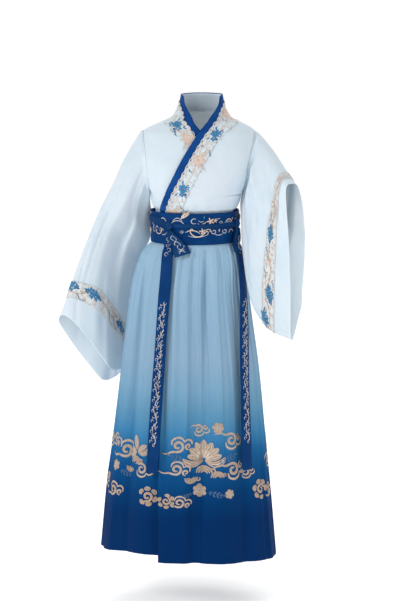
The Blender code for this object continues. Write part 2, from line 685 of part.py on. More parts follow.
def add_bow(name, knot, lean, length, width, tie_cloth):
    """A short end below a knot: two layers of strap that meet at a rounded foot."""
    turn, z = knot

    def place(u, v, out):
        spread = mix(0.62, 1.0, smooth(v * 3.0))
        shift = lean * v + (u - 0.5) * width * spread
        tilt = 0.5 * lean / length * (u - 0.5) * width * v
        height = z - 11.0 - length * v + tilt
        stand = 8.0 + 2.5 * math.sin(math.pi * v)
        here = turn + math.degrees(shift / 100.0)
        return moved_out(outline, here, height, out + stand, 0.5, 4.0)

    cloth_wall(name, place, 3, 8, 3.0, tie_cloth)


def add_tail(name, knot, route, tie_cloth):
    """A long end: down over the sash from its knot, then over the skirt's crests."""
    knot_turn, knot_z = knot
    start_z = knot_z - 11.5
    end_z = route[-1][0]
    rows = [0.013 * index for index in range(10)]
    rows += [mix(0.13, 1.0, index / 13) for index in range(14)]

    def place(u, v, out):
        z = mix(start_z, end_z, v)
        x = read_table(route, z)[0]
        cx, half, front = read_table(SKIRT, z)[:3]
        turn = math.degrees(math.asin((x - cx) / (half + 8.0)))
        turn = mix(knot_turn, turn, smooth((start_z - z) / 45.0))
        arc = math.hypot(half * math.cos(math.radians(turn)), front * math.sin(math.radians(turn)))
        width = TAIL_WIDTH * mix(0.6, 1.0, smooth((start_z - z) / 30.0))
        turn += math.degrees((u - 0.5) * width / arc)
        stand = 3.0 + 3.0 * smooth((SASH_FOOT - z) / 60.0)
        return moved_out(outline, turn, z, out + stand, 0.5, 4.0)

    cloth_wall(name, place, 2, rows, TRIM_WALL, tie_cloth)


# ---------------------------------------------------------------- the skirt
SKIRT_ROWS = [0.0, 0.024, 0.034, 0.048, 0.068, 0.11, 0.18, 0.28, 0.42, 0.60, 0.80, 1.0]


def on_skirt(turn, share, out, lift=None, lower=0.0):
    """A point of the skirt at a share of the way from its upper edge to its hem."""
    z = mix(SKIRT_TOP, hem_height(turn) + lower, share)

    def layer(here_turn, here_z):
        return skirt_surface(here_turn, here_z, lift(here_turn, here_z) if lift else 0.0)

    return moved_out(layer, turn, z, out)


def add_skirt(cloth):
    """Three widths, side by side; the third passes under the first.

    All three have their columns at the same turns, so layers lie alongside each other.
    """
    step = 4.5
    seam = 21 * step
    gap = 0.12

    def front(u, v, out):
        z = mix(SKIRT_TOP, hem_height(0.0), v)
        column = round(u * 28)
        turn = mix(wrap_edge(z), -step, column / 6) if column <= 6 else (column - 7) * step
        return on_skirt(min(turn, seam - gap), v, out, wrap_lift)

    def back(u, v, out):
        turn = seam + 38 * step * u
        return on_skirt(min(max(turn, seam + gap), 360.0 - seam - gap), v, out)

    def under(u, v, out):
        turn = max(-seam + 34 * step * u, -seam + gap)
        return on_skirt(turn, v, out, lower=13.0 * smooth((turn + 90.0) / 60.0))

    cloth_wall("skirt_front", front, 28, SKIRT_ROWS, CLOTH, cloth)
    cloth_wall("skirt_back", back, 38, SKIRT_ROWS, CLOTH, cloth)
    cloth_wall("skirt_under", under, 34, SKIRT_ROWS, CLOTH, cloth)


def main():
    """Build the set."""
    for old in list(bpy.data.objects):
        bpy.data.objects.remove(old, do_unlink=True)
    chiffon = material("ice chiffon", ICE, 0.7)
    skirt_cloth = material("dyed chiffon", SKY, 0.65)
    band_satin = material("royal satin", ROYAL, 0.5)
    sash_satin = material("navy satin", NAVY, 0.5)
    strip = material("embroidered strip", BLOSSOM, 0.75)

    add_blouse(chiffon)
    add_sleeves(chiffon, strip)
    add_neckband("collar_band_outer", 1.0, band_satin)
    add_neckband("collar_band_inner", -1.0, band_satin)
    add_neck_trim("collar_trim_outer", 1.0, strip)
    add_neck_trim("collar_trim_inner", -1.0, strip)
    add_sash(sash_satin, band_satin)
    add_knot("knot_right", KNOT_RIGHT, band_satin)
    add_knot("knot_left", KNOT_LEFT, band_satin)
    add_bow("loop_right", KNOT_RIGHT, 41.0, 57.0, 27.0, band_satin)
    add_bow("loop_left", KNOT_LEFT, -13.0, 57.0, 26.0, band_satin)
    add_tail("tail_right", KNOT_RIGHT, TAIL_RIGHT, band_satin)
    add_tail("tail_left", KNOT_LEFT, TAIL_LEFT, band_satin)
    add_skirt(skirt_cloth)


main()
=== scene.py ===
"""Dress of a child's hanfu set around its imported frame: cloth, embroidery, sash and studio.

Lengths in the tables are millimetres. Places on the body and the skirt are a turn about the
vertical (0 at the front centre, +90 at the wearer's left side) and a height; places on a sleeve
are a turn round it (0 at its top, 0 to 180 in front) and a part of its length.
"""
import math

import bmesh
import bpy
import numpy as np
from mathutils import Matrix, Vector


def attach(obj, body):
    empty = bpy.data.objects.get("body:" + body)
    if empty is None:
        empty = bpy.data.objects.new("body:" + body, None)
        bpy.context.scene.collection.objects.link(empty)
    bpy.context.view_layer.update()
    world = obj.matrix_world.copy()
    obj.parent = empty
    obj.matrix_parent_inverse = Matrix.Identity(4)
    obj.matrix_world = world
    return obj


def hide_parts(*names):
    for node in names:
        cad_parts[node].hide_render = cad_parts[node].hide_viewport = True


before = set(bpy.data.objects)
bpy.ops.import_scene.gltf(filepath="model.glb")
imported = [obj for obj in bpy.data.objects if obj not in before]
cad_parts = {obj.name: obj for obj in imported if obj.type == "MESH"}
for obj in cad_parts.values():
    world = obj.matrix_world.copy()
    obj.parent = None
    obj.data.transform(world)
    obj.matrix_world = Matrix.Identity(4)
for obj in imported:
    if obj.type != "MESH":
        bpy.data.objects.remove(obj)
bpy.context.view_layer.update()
MM = 0.001

# ---------------------------------------------------------------- driving dimensions (mm)
CLOTH = 1               # wall of the blouse and the skirt
TRIM_WALL = 0.8         # wall of bands, strips and straps
SASH_WALL = 1.4
SEAM = 0.3
LAY = 0.4               # distance between a panel and what lies on it
NECK_LAY = 0.8
COLLAR_TOP = 50
BLOUSE_HEM = -345
SASH_TOP = -218
SASH_FOOT = -291
SASH_OUT = 12.2         # how far the sash and the tie stand off the waist
TIE_OUT = 14.4
WAIST = -230            # height of the section that the sash keeps
SKIRT_TOP = -274
SKIRT_HEM = -1033.5
WRAP_LIFT = (2.6, 6)
FRONT_LIFT = 5.4
PLEATS = 22
TRIM_WIDTH = 29
INNER_BAND_END = 0.74
SLEEVE_TRIM = (0.815, 0.900)     # the sleeve strips' edges, as parts of the sleeve's length
TAIL_WIDTH = 26
ARMHOLE_TOP = -34
ARMHOLE_FOOT = -175
ARMHOLE_DEPTH = 58
SIDE = 90

# Sections of the upper body: height, centre x, half width, front y, back y, side y
BODY = (
    (52, 3, 46, -23, 51, 12),
    (30, 3, 50, -32, 60, 12),
    (14, 2.5, 55.5, -42, 66, 11),
    (0, 2, 64, -51, 72, 10),
    (-6, 1, 74, -55, 75, 9),
    (-13, 0, 89, -59, 78, 8.5),
    (-21, -1, 106, -63, 80, 8),
    (-28, -2, 120, -66, 82, 7),
    (-34, -3, 128, -69, 83, 6),
    (-80, -5.5, 121.5, -86, 88, 5),
    (-130, -8.2, 114.2, -96, 87, 4),
    (-175, -10.8, 107.8, -97, 83, 3),
    (-190, -11.6, 104.6, -93, 79.5, 2),
    (-200, -12.4, 101.6, -87, 75, 1),
    (-209, -13.1, 97.6, -80.5, 70.8, 0),
    (-216, -13.5, 91.8, -76.8, 68.3, 0),
    (-225, -13.6, 90.3, -75.3, 67.2, 0),
    (-291, -13.8, 90, -75, 67, 0),
    (-350, -15, 93, -77, 69, 0),
)

# Sections of the skirt, to the crests of its pleats
SKIRT = (
    # z, cx, half, front, back, depth of the pleats
    (-274, -13.8, 96.7, -81.7, 73.7, 0),
    (-292, -14, 96.9, -82, 74, 0.6),
    (-299, -15.6, 104.5, -88, 80, 3),
    (-309, -18, 112, -93.5, 85.5, 6),
    (-322, -20.4, 118.5, -98, 90, 8),
    (-355, -22.5, 129, -106, 99, 9.5),
    (-400, -24.8, 138.2, -114, 108, 10),
    (-455, -25.2, 145.8, -120, 116, 10),
    (-583, -24.2, 162.5, -132, 130, 10),
    (-783, -26.8, 185, -147, 148, 10),
    (-861, -28.5, 194.5, -153, 155, 10),
    (-1045, -29.2, 211.5, -164, 167, 10),
)

# Folds deeper than the pleats: turn and height of both ends, depth, half width in degrees
SKIRT_FOLDS = (
    (15, -300, 5, -1040, 13, 7.5),
    (-62, -300, -48, -1040, 10, 8),
    (50, -300, 43, -1040, 9, 7.5),
    (118, -310, 112, -1040, 11, 8),
    (168, -300, 175, -1040, 13, 8),
    (-142, -310, -136, -1040, 11, 8),
)

# The neckband, nape to sash: turn and height of its free edge and of its sewn edge
NECKBAND = (
    (180, 50, 180, 31),
    (150, 50, 152, 31),
    (118, 50, 124, 31),
    (86, 50, 98, 31),
    (62, 47.5, 80, 29),
    (49, 30, 64, 20.5),
    (34.5, 16, 47, 7.5),
    (20.5, 3, 33, -6.5),
    (10.5, -9.7, 19.8, -17),
    (1.2, -28, 9.6, -36),
    (-4.6, -49, 3.6, -57),
    (-11.4, -72.5, -3, -80.5),
    (-19.6, -102, -10.6, -110),
    (-26.8, -129, -17.6, -137),
    (-33.8, -155, -24.2, -162),
    (-40.6, -180, -30.6, -186),
    (-49.5, -204, -37.6, -208),
    (-56, -219, -42, -221),
    (-57.5, -236, -43, -237),
)

# Sections of the sleeves: which side they are on, then a row for each section. The wearer's right
# arm hangs; the left elbow is bent and the forearm comes forward. The place of the widest part is 1
# for the middle and less for higher; across is the way from the front wall to the back wall; the
# last two are the sag's lowest place and roundness, 1 and 2 where they aren't given.
SLEEVES = {
    "right": (-1, (
        # along, top, foot, half width, place of the widest part, across, sag
        (0.06, (-139, 7, -37), (-118.5, 14, -201), 56, 0.85, (0, 1, 0), (-7, 0, 0)),
        (0.17, (-173, 6, -93), (-115.5, 41, -240), 51, 0.85, (0.1, 1, 0), (-12, -12, 0)),
        (0.30, (-201, 4.5, -156), (-119, 56, -290), 46, 0.78, (0.15, 0.95, -0.1), (-14, -16, 2)),
        (0.45, (-234, 3, -226), (-142, 72, -346), 40, 0.70, (0.2, 0.9, -0.2), (-12, -12, 4)),
        (0.70, (-281.5, 0, -337), (-167, 99, -464), 40, 0.80, (0.1, 0.9, -0.4), (-4, -13, 8),
         1, 1.8),
        (0.86, (-308, -2, -412), (-170, 112, -554), 38, 0.90, (0.1, 0.85, -0.5), (9, -11, 28),
         0.95, 1.3),
        (1, (-331, -3, -473), (-181.5, 114, -616.5), 42.5, 0.67, (-0.3, 0.8, -0.5), (10, -12, -57),
         1.5, 1.28),
    )),
    "left": (1, (
        (0.12, (136, -5, -41.5), (93.5, -9, -204), 47, 0.80, (0.1, 1, 0), (9, 0, 0)),
        (0.25, (145, -18, -52), (96, -24, -234), 42, 0.80, (0.3, 0.95, 0), (4, 0, 0)),
        (0.50, (166, -47, -79), (102, -50, -330), 36, 0.70, (0.5, 0.87, 0), (0, 0, 0)),
        (0.72, (184, -76, -109), (122, -84, -432), 32, 0.60, (0.65, 0.76, 0), (-2, 0, 0)),
        (0.86, (196, -97, -130), (160, -104, -484), 28, 0.50, (0.72, 0.69, 0), (1, 1, 0)),
        (1, (208, -117, -145), (211.5, -115, -508.5), 29, 0.50, (0.68, 0.73, 0), (13, 10, 8)),
    )),
}

KNOT_RIGHT = (-33, -247)     # turn and height
KNOT_LEFT = (65, -246)
KNOT_HALF = (8.3, 5.2, 9.8)  # half of a knot's width, depth and height
TIE_BESIDE = -236            # the tie's height away from its knots
BELOW_KNOT = 11.5
# Long ends of the tie: their knot, then height and centre x
TAILS = {
    "right": (KNOT_RIGHT, ((-262, -75), (-330, -77), (-420, -84), (-560, -94), (-700, -102),
                           (-815, -109))),
    "left": (KNOT_LEFT, ((-262, 84), (-330, 94), (-420, 98.5), (-560, 101), (-700, 104),
                         (-815, 108))),
}


# ---------------------------------------------------------------- sums that the pieces share
def smooth(t):
    """Ease from 0 to 1."""
    t = np.clip(t, 0, 1)
    return t * t * (3 - 2 * t)


def mix(low, high, t):
    """Between two numbers, or two sets of points."""
    return low + (high - low) * t


def arrays(*values):
    """Numbers as arrays of one shape."""
    return np.broadcast_arrays(*(np.asarray(value, float) for value in values))


def hermite(low, start, high, stop, t):
    """A smooth curve from low to high, whose slopes there are start and stop."""
    t2, t3 = t * t, t * t * t
    return (low * (2 * t3 - 3 * t2 + 1) + start * (t3 - 2 * t2 + t)
            + high * (3 * t2 - 2 * t3) + stop * (t3 - t2))


def read_table(rows, key):
    """The columns of a table at the keys, along smooth curves through the rows."""
    table = np.array(rows, dtype=float)
    if table[0, 0] > table[-1, 0]:
        table = table[::-1]
    keys, values = table[:, 0], table[:, 1:]
    key = np.clip(np.asarray(key, dtype=float), keys[0], keys[-1])
    place = np.clip(np.searchsorted(keys, key, side="right") - 1, 0, len(keys) - 2)
    slopes = np.diff(values, axis=0) / np.diff(keys)[:, None]
    bends = np.zeros_like(values)
    bends[0], bends[-1] = slopes[0], slopes[-1]
    both = slopes[:-1] * slopes[1:]
    whole = slopes[:-1] + slopes[1:]
    bends[1:-1] = np.where(both > 0, 2 * both / np.where(both > 0, whole, 1), 0)
    span = (keys[place + 1] - keys[place])[..., None]
    t = (key - keys[place])[..., None] / span
    found = hermite(values[place], span * bends[place],
                    values[place + 1], span * bends[place + 1], t)
    return np.moveaxis(found, -1, 0)


def unit(vectors):
    """Vectors of length 1."""
    return vectors / np.maximum(np.linalg.norm(vectors, axis=-1, keepdims=True), 1e-9)


def points(x, y, z):
    """Three sets of numbers as one set of points."""
    return np.stack(np.broadcast_arrays(x, y, z), axis=-1).astype(float)


def moved_out(surface, a, b, out, step_a=0.4, step_b=0.8):
    """Points of a surface, moved out along its normals."""
    along_a = surface(a + step_a, b) - surface(a - step_a, b)
    along_b = surface(a, b - step_b) - surface(a, b + step_b)
    normal = unit(np.cross(along_b, along_a))
    return surface(a, b) + normal * np.asarray(out, dtype=float)[..., None]


def folds(a, b, table):
    """How deep a table's folds are at (a, b): each fades beside its line and past its ends."""
    found = 0
    for a0, b0, a1, b1, depth, spread in table:
        da, db = a1 - a0, b1 - b0
        t = ((a - a0) * da + (b - b0) * db) / (da * da + db * db)
        near = np.clip(t, 0, 1)
        away = np.hypot(a - a0 - near * da, b - b0 - near * db)
        found = found + depth * (np.exp(-(away / spread) ** 2) * smooth(1 - 2 * np.abs(t - near)))
    return found


def groove(turn, middle, spread):
    """1 at a turn, falling to 0 beside it."""
    offset = (turn - middle + 180) % 360 - 180
    return np.exp(-(offset / spread) ** 2)


def sine_of(turn):
    return np.sin(np.radians(turn))


def cosine_of(turn):
    return np.cos(np.radians(turn))


# ---------------------------------------------------------------- the blouse's body
def armhole(z):
    """How far the armhole stands open at a height, 0 to 1."""
    along = (ARMHOLE_TOP - z) / (ARMHOLE_TOP - ARMHOLE_FOOT)
    return np.sqrt(np.clip(np.sin(math.pi * np.clip(along, 0, 1)), 0, 1))


# Soft folds of the body in chiffon: turn and height of both ends, depth in mm, half width
BODY_FOLDS = (
    (84, -172, 40, -204, 1.3, 13),
    (86, -120, 58, -180, -2.2, 8),
    (-84, -168, -62, -206, 2.6, 8),
    (-86, -110, -66, -176, -2, 7),
    (60, -60, 82, -120, 1.8, 8),
    (-58, -60, -80, -116, 1.8, 8),
    (104, -160, 150, -206, 3, 10),
    (-104, -158, -146, -206, 3, 10),
    (108, -90, 128, -180, -2.4, 9),
    (-108, -96, -132, -184, -2.4, 9),
    (172, -70, 166, -190, 2, 11),
)


def body_surface(turn, z):
    """The blouse's cloth, with its soft folds and its gathers above the sash."""
    cx, half, front, back, side_y = read_table(BODY, z)
    sine, cosine = sine_of(turn), cosine_of(turn)
    gap = armhole(z) * ARMHOLE_DEPTH
    flat = smooth(armhole(z) * 1.2)
    round_off = (1 - flat) * np.abs(cosine) + flat * (1 - np.abs(sine) ** 2.6)
    y = np.where(cosine >= 0, side_y - gap - (side_y - gap - front) * round_off,
                 side_y + gap + (back - side_y - gap) * round_off)
    return points(cx + half * sine, y, z)


def body_dent(turn, z):
    """How far the folds set the blouse's cloth in, in mm."""
    gather = smooth((-z - 176) / 26) * smooth((z + 219) / 14)
    ripple = np.sin(np.radians(turn * 19) + 1.2 * sine_of(turn * 5))
    ripple = ripple * (0.6 + 0.4 * sine_of(turn * 3 + 40))
    return folds(turn, z, BODY_FOLDS) + 0.7 * gather * ripple


def on_body(turn, z, out):
    """Points of the blouse, moved out; the side seams' points share their normals."""
    turn, z, out = arrays(turn, z, out)
    side = np.where(turn > 0, 1, -1)
    at_seam = np.abs(np.abs(turn) - SIDE) < 1
    away = np.where(np.abs(turn) <= SIDE, 1, -1)
    read_at = np.where(at_seam, turn - side * 1.5 * away, turn)
    shift = moved_out(body_surface, read_at, z, out) - body_surface(read_at, z)
    hole = at_seam & (z < ARMHOLE_TOP + 1) & (z > ARMHOLE_FOOT - 1)
    shift[..., 0] = np.where(hole, 0, shift[..., 0])
    length = np.linalg.norm(shift, axis=-1)
    shift *= np.where(hole, np.abs(out) / np.maximum(length, 1e-6), 1)[..., None]
    return body_surface(turn, z) + shift


def front_lift(turn, z):
    """How far the outer front stands off the inner one."""
    flat = 1 - 0.4 * smooth((-z - 203) / 20)
    return FRONT_LIFT * flat * smooth((-z - 2) / 20) * smooth((89 - turn) / 22)


def on_sash(turn, z, out):
    """Points of the sash, whose section stays that of the waist."""
    turn, z, out = arrays(turn, z, out)
    found = moved_out(body_surface, turn, np.minimum(z, WAIST), out)
    found[..., 2] = z
    return found


# ---------------------------------------------------------------- the skirt
def hem_height(turn):
    """The hem is a little lower at the wearer's left and at the back."""
    return SKIRT_HEM - 8.5 * sine_of(turn) + 6 * cosine_of(turn)


def wrap_edge(z):
    """Turn of the free edge of the front width."""
    return read_table(((-262, -34), (-300, -32), (-485, -25), (-630, -23),
                       (-1045, -18.5)), z)[0]


def wrap_lift(turn, z):
    """How far the front width stands off the one under it."""
    layer = mix(*WRAP_LIFT, smooth((-z - 284) / 36)) * smooth((92 - turn) / 26)
    edge = 9 * smooth((-z - 420) / 500) * smooth(1 - (turn - wrap_edge(z)) / 16)
    return layer + edge


def pleat_phase(turn):
    angle = np.radians(turn)
    return PLEATS * angle + 1.6 * np.sin(2 * angle + 0.7) + 1.1 * np.sin(5 * angle)


def skirt_depth(turn, z):
    """How far the cloth falls back from the pleats' crests."""
    depth = read_table(SKIRT, z)[4]
    angle = np.radians(turn)
    phase = pleat_phase(turn)
    lower = smooth((-z - 380) / 500)
    fine = 0.5 - 0.5 * np.cos(phase)
    broad = 0.5 - 0.5 * np.cos(0.5 * phase + 0.9)
    uneven = 0.75 + 0.25 * np.sin(3 * angle + 1)
    fall = depth * uneven * ((0.75 - 0.45 * lower) * fine + (0.25 + 0.4 * lower) * broad)
    for turn0, z0, turn1, z1, deep, spread in SKIRT_FOLDS:
        t = smooth((z - z0) / (z1 - z0)) * 0.5 + 0.5 * np.clip((z - z0) / (z1 - z0), 0, 1)
        fade = smooth((z0 - z) / 120) * (1 - 0.45 * smooth((-z - 700) / 340))
        fall = fall + deep * groove(turn, mix(turn0, turn1, t), spread) * fade
    return fall


# Creases of the chiffon between the folds: turn and height of both ends, depth in mm, half width
SKIRT_CREASES = (
    (17, -292, 6, -1010, 4.2, 1.9),
    (1, -300, 0.5, -860, 3.4, 2.2),
    (-27, -296, -15, -930, 4, 2.2),
    (30, -330, 25, -1150, 3.4, 2.6),
    (38, -420, 35, -860, -1.6, 2.8),
    (52, -300, 40, -1150, 3.6, 2.4),
    (66, -320, 60, -1140, 3.2, 2.8),
    (80, -300, 78, -760, 2.2, 2.2),
    (-63, -296, -44, -1150, 4, 2.6),
    (-88, -310, -84, -860, 2, 2.4),
    (101, -320, 104, -1150, 2.6, 2.6),
    (132, -310, 128, -900, 3, 2.6),
    (150, -400, 154, -1150, 2.4, 3),
    (188, -320, 190, -980, 2.8, 2.4),
    (204, -360, 199, -1150, 2.6, 2.8),
    (236, -310, 238, -940, 3, 2.6),
    (252, -380, 249, -1150, 2.4, 3),
)


def knife_pleats(turn, z):
    """Small pressed pleats at the waist that open out below it, and creases, in mm."""
    phase = 2 * pleat_phase(turn + 0.8) / (2 * math.pi)
    saw = phase - np.floor(phase)
    step = np.minimum(saw / 0.91, (1 - saw) / 0.09)
    press = 3.2 * step * smooth((-z - 292) / 16) * (1 - 0.72 * smooth((-z - 430) / 260))
    for turn0, z0, turn1, z1, deep, spread in SKIRT_CREASES:
        t = np.clip((z - z0) / (z1 - z0), 0, 1)
        fade = smooth((z0 - z) / 70) * smooth((z - z1) / 160)
        press = press + deep * groove(turn, mix(turn0, turn1, t), spread) * fade
    return press


def skirt_surface(turn, z, lift):
    """The skirt's cloth, with its pleats, lifted off the layer under it."""
    cx, half, front, back, _ = read_table(SKIRT, z)
    sine, cosine = sine_of(turn), cosine_of(turn)
    fall = skirt_depth(turn, z) - lift
    deep = np.where(cosine >= 0, -front, back) - fall
    return points(cx + (half - fall) * sine, -deep * cosine, z)


def crest_surface(turn, z):
    """The skirt's outline over the front width's lift, without its pleats."""
    cx, half, front, back, _ = read_table(SKIRT, z)
    edge = wrap_edge(z)
    lift = wrap_lift(np.maximum(turn, edge), z) * smooth((turn - edge + 18) / 12)
    deep = np.where(cosine_of(turn) >= 0, -front, back) + lift
    return points(cx + (half + lift) * sine_of(turn), -deep * cosine_of(turn), z)


def outline(turn, z):
    """Outermost cloth of the waist: the sash, and below it the crests of the skirt."""
    on_waist = on_sash(turn, z, SASH_OUT + 1)
    crest = crest_surface(turn, np.minimum(z, SKIRT_TOP))
    crest[..., 2] = z
    return mix(on_waist, crest, smooth((SASH_FOOT + 8 - z) / 26)[..., None])


# ---------------------------------------------------------------- the sleeves
# Folds of the sleeves: both ends as parts of the length and of the height, depth in mm, half width.
# Heights run 0 to 1 on the front wall and 0 to -1 on the back wall.
SLEEVE_FOLDS = {
    "right": (
        # along, height to along, height, depth, spread
        (0.08, 0.85, 0.60, 0.62, -7, 0.07),
        (0.20, 0.50, 0.92, 0.42, 5, 0.08),
        (0.30, 0.78, 0.98, 0.86, 6, 0.06),
        (0.10, -0.60, 0.90, -0.50, -7, 0.09),
        (0.35, -0.85, 0.98, -0.75, 6, 0.07),
        (0.02, 0.30, 0.34, 0.20, 2.4, 0.035),
        (0.03, 0.52, 0.30, 0.66, -2, 0.04),
        (0.10, 0.72, 0.45, 0.80, 3, 0.035),
        (0.40, 0.30, 0.86, 0.22, -2.4, 0.035),
        (0.55, 0.62, 0.98, 0.58, 3.4, 0.045),
        (0.62, 0.12, 0.98, 0.16, -2.4, 0.03),
        (0.45, 0.92, 0.80, 0.90, -2, 0.03),
        (0.04, -0.30, 0.40, -0.26, 2.6, 0.04),
        (0.30, -0.66, 0.80, -0.60, -3, 0.045),
        (0.50, -0.22, 0.95, -0.26, 3, 0.045),
        (0.62, -0.86, 0.98, -0.88, 2.4, 0.03),
    ),
    "left": (
        (0.05, 0.80, 0.55, 0.75, -6, 0.08),
        (0.30, 0.35, 0.78, 0.30, 9, 0.08),
        (0.86, 0.22, 0.66, 0.42, -9, 0.05),
        (0.10, -0.55, 0.85, -0.45, -7, 0.09),
        (0.40, -0.85, 0.98, -0.80, 6, 0.07),
        (0.02, 0.36, 0.24, 0.24, 2.4, 0.04),
        (0.06, 0.60, 0.44, 0.54, -2.6, 0.04),
        (0.30, 0.74, 0.84, 0.72, 3, 0.05),
        (0.52, 0.10, 0.90, 0.16, -2, 0.03),
        (0.60, 0.52, 0.97, 0.58, 2.2, 0.04),
        (0.88, 0.30, 0.72, 0.14, 3.4, 0.03),
        (0.64, 0.90, 0.95, 0.84, -2, 0.03),
        (0.05, -0.30, 0.50, -0.24, 2.8, 0.04),
        (0.30, -0.66, 0.90, -0.62, -3, 0.05),
        (0.58, -0.30, 0.96, -0.36, 2.6, 0.04),
    ),
}


def sleeve_ring(row, turn):
    """One section; turns 0 to 180 are the front wall, 180 to 360 the back wall."""
    _, top, foot, half, place, across, sag, lowest, roundness = (*row, 1, 2)[:9]
    angle = np.radians(turn)
    along = ((1 - np.cos(angle)) / 2)[..., None]
    opening = half * np.sqrt(np.clip(np.sin(math.pi * along ** place), 0, 1))
    way = unit(np.array(across))
    side = np.where(np.sin(angle) > 0, -1, 1)[..., None]
    hang = 1 - np.abs(2 * along ** lowest - 1) ** roundness
    middle = mix(np.array(top), np.array(foot), along) + np.array(sag) * hang
    return middle + way * (opening * side)


def armhole_ring(side, turn):
    """The sleeve's first section, a seam's width out from the armhole."""
    angle = np.radians(turn)
    along = (1 - np.cos(angle)) / 2
    z = mix(ARMHOLE_TOP, ARMHOLE_FOOT, along)
    cx, half, _, _, side_y = read_table(BODY, z)
    y = side_y + armhole(z) * ARMHOLE_DEPTH * np.where(np.sin(angle) > 0, -1, 1)
    away = SEAM + 0.3 + 0.7 * smooth((along - 0.85) / 0.15)
    return points(cx + side * (half + away), y, z)


def make_sleeve_surface(side, rows, table):
    """A function of the turn and of the place along the sleeve, 0 at the armhole to 1."""
    stations = np.array([0] + [row[0] for row in rows])
    ways = np.array([unit(np.array(row[5])) for row in rows])
    last = len(stations) - 1

    def surface(turn, along):
        turn, along = arrays(turn % 360, along)
        rings = np.stack([armhole_ring(side, turn)] + [sleeve_ring(row, turn) for row in rows])
        place = np.clip(np.searchsorted(stations, along, side="left") - 1, 0, last - 1)

        def ring(index):
            return np.take_along_axis(rings, index[None, ..., None], axis=0)[0]

        low_at, high_at = stations[place], stations[place + 1]
        before_at = stations[np.maximum(place - 1, 0)]
        after_at = stations[np.minimum(place + 2, last)]
        span = (high_at - low_at)[..., None]
        t = (along - low_at)[..., None] / span
        low, high = ring(place), ring(place + 1)
        start = (high - ring(np.maximum(place - 1, 0))) * span / (high_at - before_at)[..., None]
        stop = (ring(np.minimum(place + 2, last)) - low) * span / (after_at - low_at)[..., None]
        found = hermite(low, start, high, stop, t)
        height = (1 - cosine_of(turn)) / 2
        push = folds(along, np.where(turn <= 180, height, -height), table)
        push = push * smooth(along / 0.05) * np.where(turn <= 180, -1, 1)
        return found + ways[np.minimum(place, last - 1)] * push[..., None]
    return surface


sleeve_surfaces = {name: make_sleeve_surface(side, rows, SLEEVE_FOLDS[name])
                   for name, (side, rows) in SLEEVES.items()}


def on_sleeve(name, turn, along, out):
    """Points of a sleeve, moved out."""
    surface, side = sleeve_surfaces[name], SLEEVES[name][0]
    turn, along, out = arrays(turn, along, out)
    found = moved_out(surface, turn, along, side * out, 0.8, 0.005)
    at_start = along <= 0
    if at_start.any():
        shift = (moved_out(surface, turn, 0.006, side * out, 0.8, 0.004)
                 - surface(turn, 0.006 + 0 * turn))
        shift[..., 0] = 0
        shift = unit(shift) * np.abs(out)[..., None]
        found = np.where(at_start[..., None], surface(turn, along) + shift, found)
    return found


# ---------------------------------------------------------------- the neckband's two edges
def mirrored(turn, z):
    """The turn of a point's mirror image; the mirror stands upright through the neck."""
    cx, half = read_table(BODY, z)[:2]
    middle = cx * (smooth((z + 12) / 22) + smooth((-z - 30) / 70))
    x = 2 * middle - (cx + half * sine_of(turn))
    found = np.degrees(np.arcsin(np.clip((x - cx) / half, -1, 1)))
    found = np.where(turn > 90, -180 - found, found)
    return np.where(turn > 95, -turn, found)


BAND = {}
for band_side in (1, -1):
    band = np.array(NECKBAND)
    if band_side < 0:
        band[:, 0] = mirrored(band[:, 0], band[:, 1])
        band[:, 2] = mirrored(band[:, 2], band[:, 3])
    BAND[band_side] = np.column_stack([np.arange(len(band)), band])


def band_point(side, along, across):
    """Turn and height on the neckband; along 0 at the nape, across 0 at the free edge."""
    rows = BAND[side]
    free_turn, free_z, sewn_turn, sewn_z = read_table(rows, along * (len(rows) - 1))
    return mix(free_turn, sewn_turn, across), mix(free_z, sewn_z, across)


def reach_table(points_of, start, stop, count=400):
    """Places along a line and their distance from its start, in mm."""
    places = np.linspace(start, stop, count)
    steps = np.linalg.norm(np.diff(points_of(places), axis=0), axis=1)
    return places, np.concatenate([[0], np.cumsum(steps)])


def band_reach(side, start, stop):
    """Places along the neckband's sewn edge and their distance from its start."""
    return reach_table(lambda along: body_surface(*band_point(side, along, 1)), start, stop)


def even_places(side, stop, count, v):
    """Places along the neckband at equal distances, for v from 0 to 1."""
    places, reach = band_reach(side, 0.0006, stop)
    even = np.interp(np.linspace(0, reach[-1], count + 1), reach, places)
    return np.interp(v, np.linspace(0, 1, count + 1), even)


def edge_turn(side, z):
    """Turn of a front's free edge at a height."""
    rows = [(row[2], row[1]) for row in BAND[side][4:]]
    rows.insert(0, (COLLAR_TOP - 1.5, rows[0][1] + side * 3))
    rows.append((BLOUSE_HEM - 10, rows[-1][1]))
    return read_table(rows, z)[0]


def panel_lift(side, turn, z):
    """Offset of the front that a band lies on."""
    return front_lift(turn, z) * (turn < SIDE) if side > 0 else 0 * turn


def beside_band(side, along, distance):
    """Turn and height at a distance in mm past the neckband's sewn edge."""
    free_turn, free_z = band_point(side, along, 0)
    sewn_turn, sewn_z = band_point(side, along, 1)
    width = np.linalg.norm(body_surface(sewn_turn, sewn_z) - body_surface(free_turn, free_z),
                           axis=-1)
    return (sewn_turn + (sewn_turn - free_turn) / width * distance,
            sewn_z + (sewn_z - free_z) / width * distance)


# ---------------------------------------------------------------- making pieces
def to_linear(code):
    """An sRGB hex colour as linear numbers."""
    parts = [int(code[i:i + 2], 16) / 255 for i in (1, 3, 5)]
    return (*(c / 12.92 if c <= 0.04045 else ((c + 0.055) / 1.055) ** 2.4 for c in parts), 1)


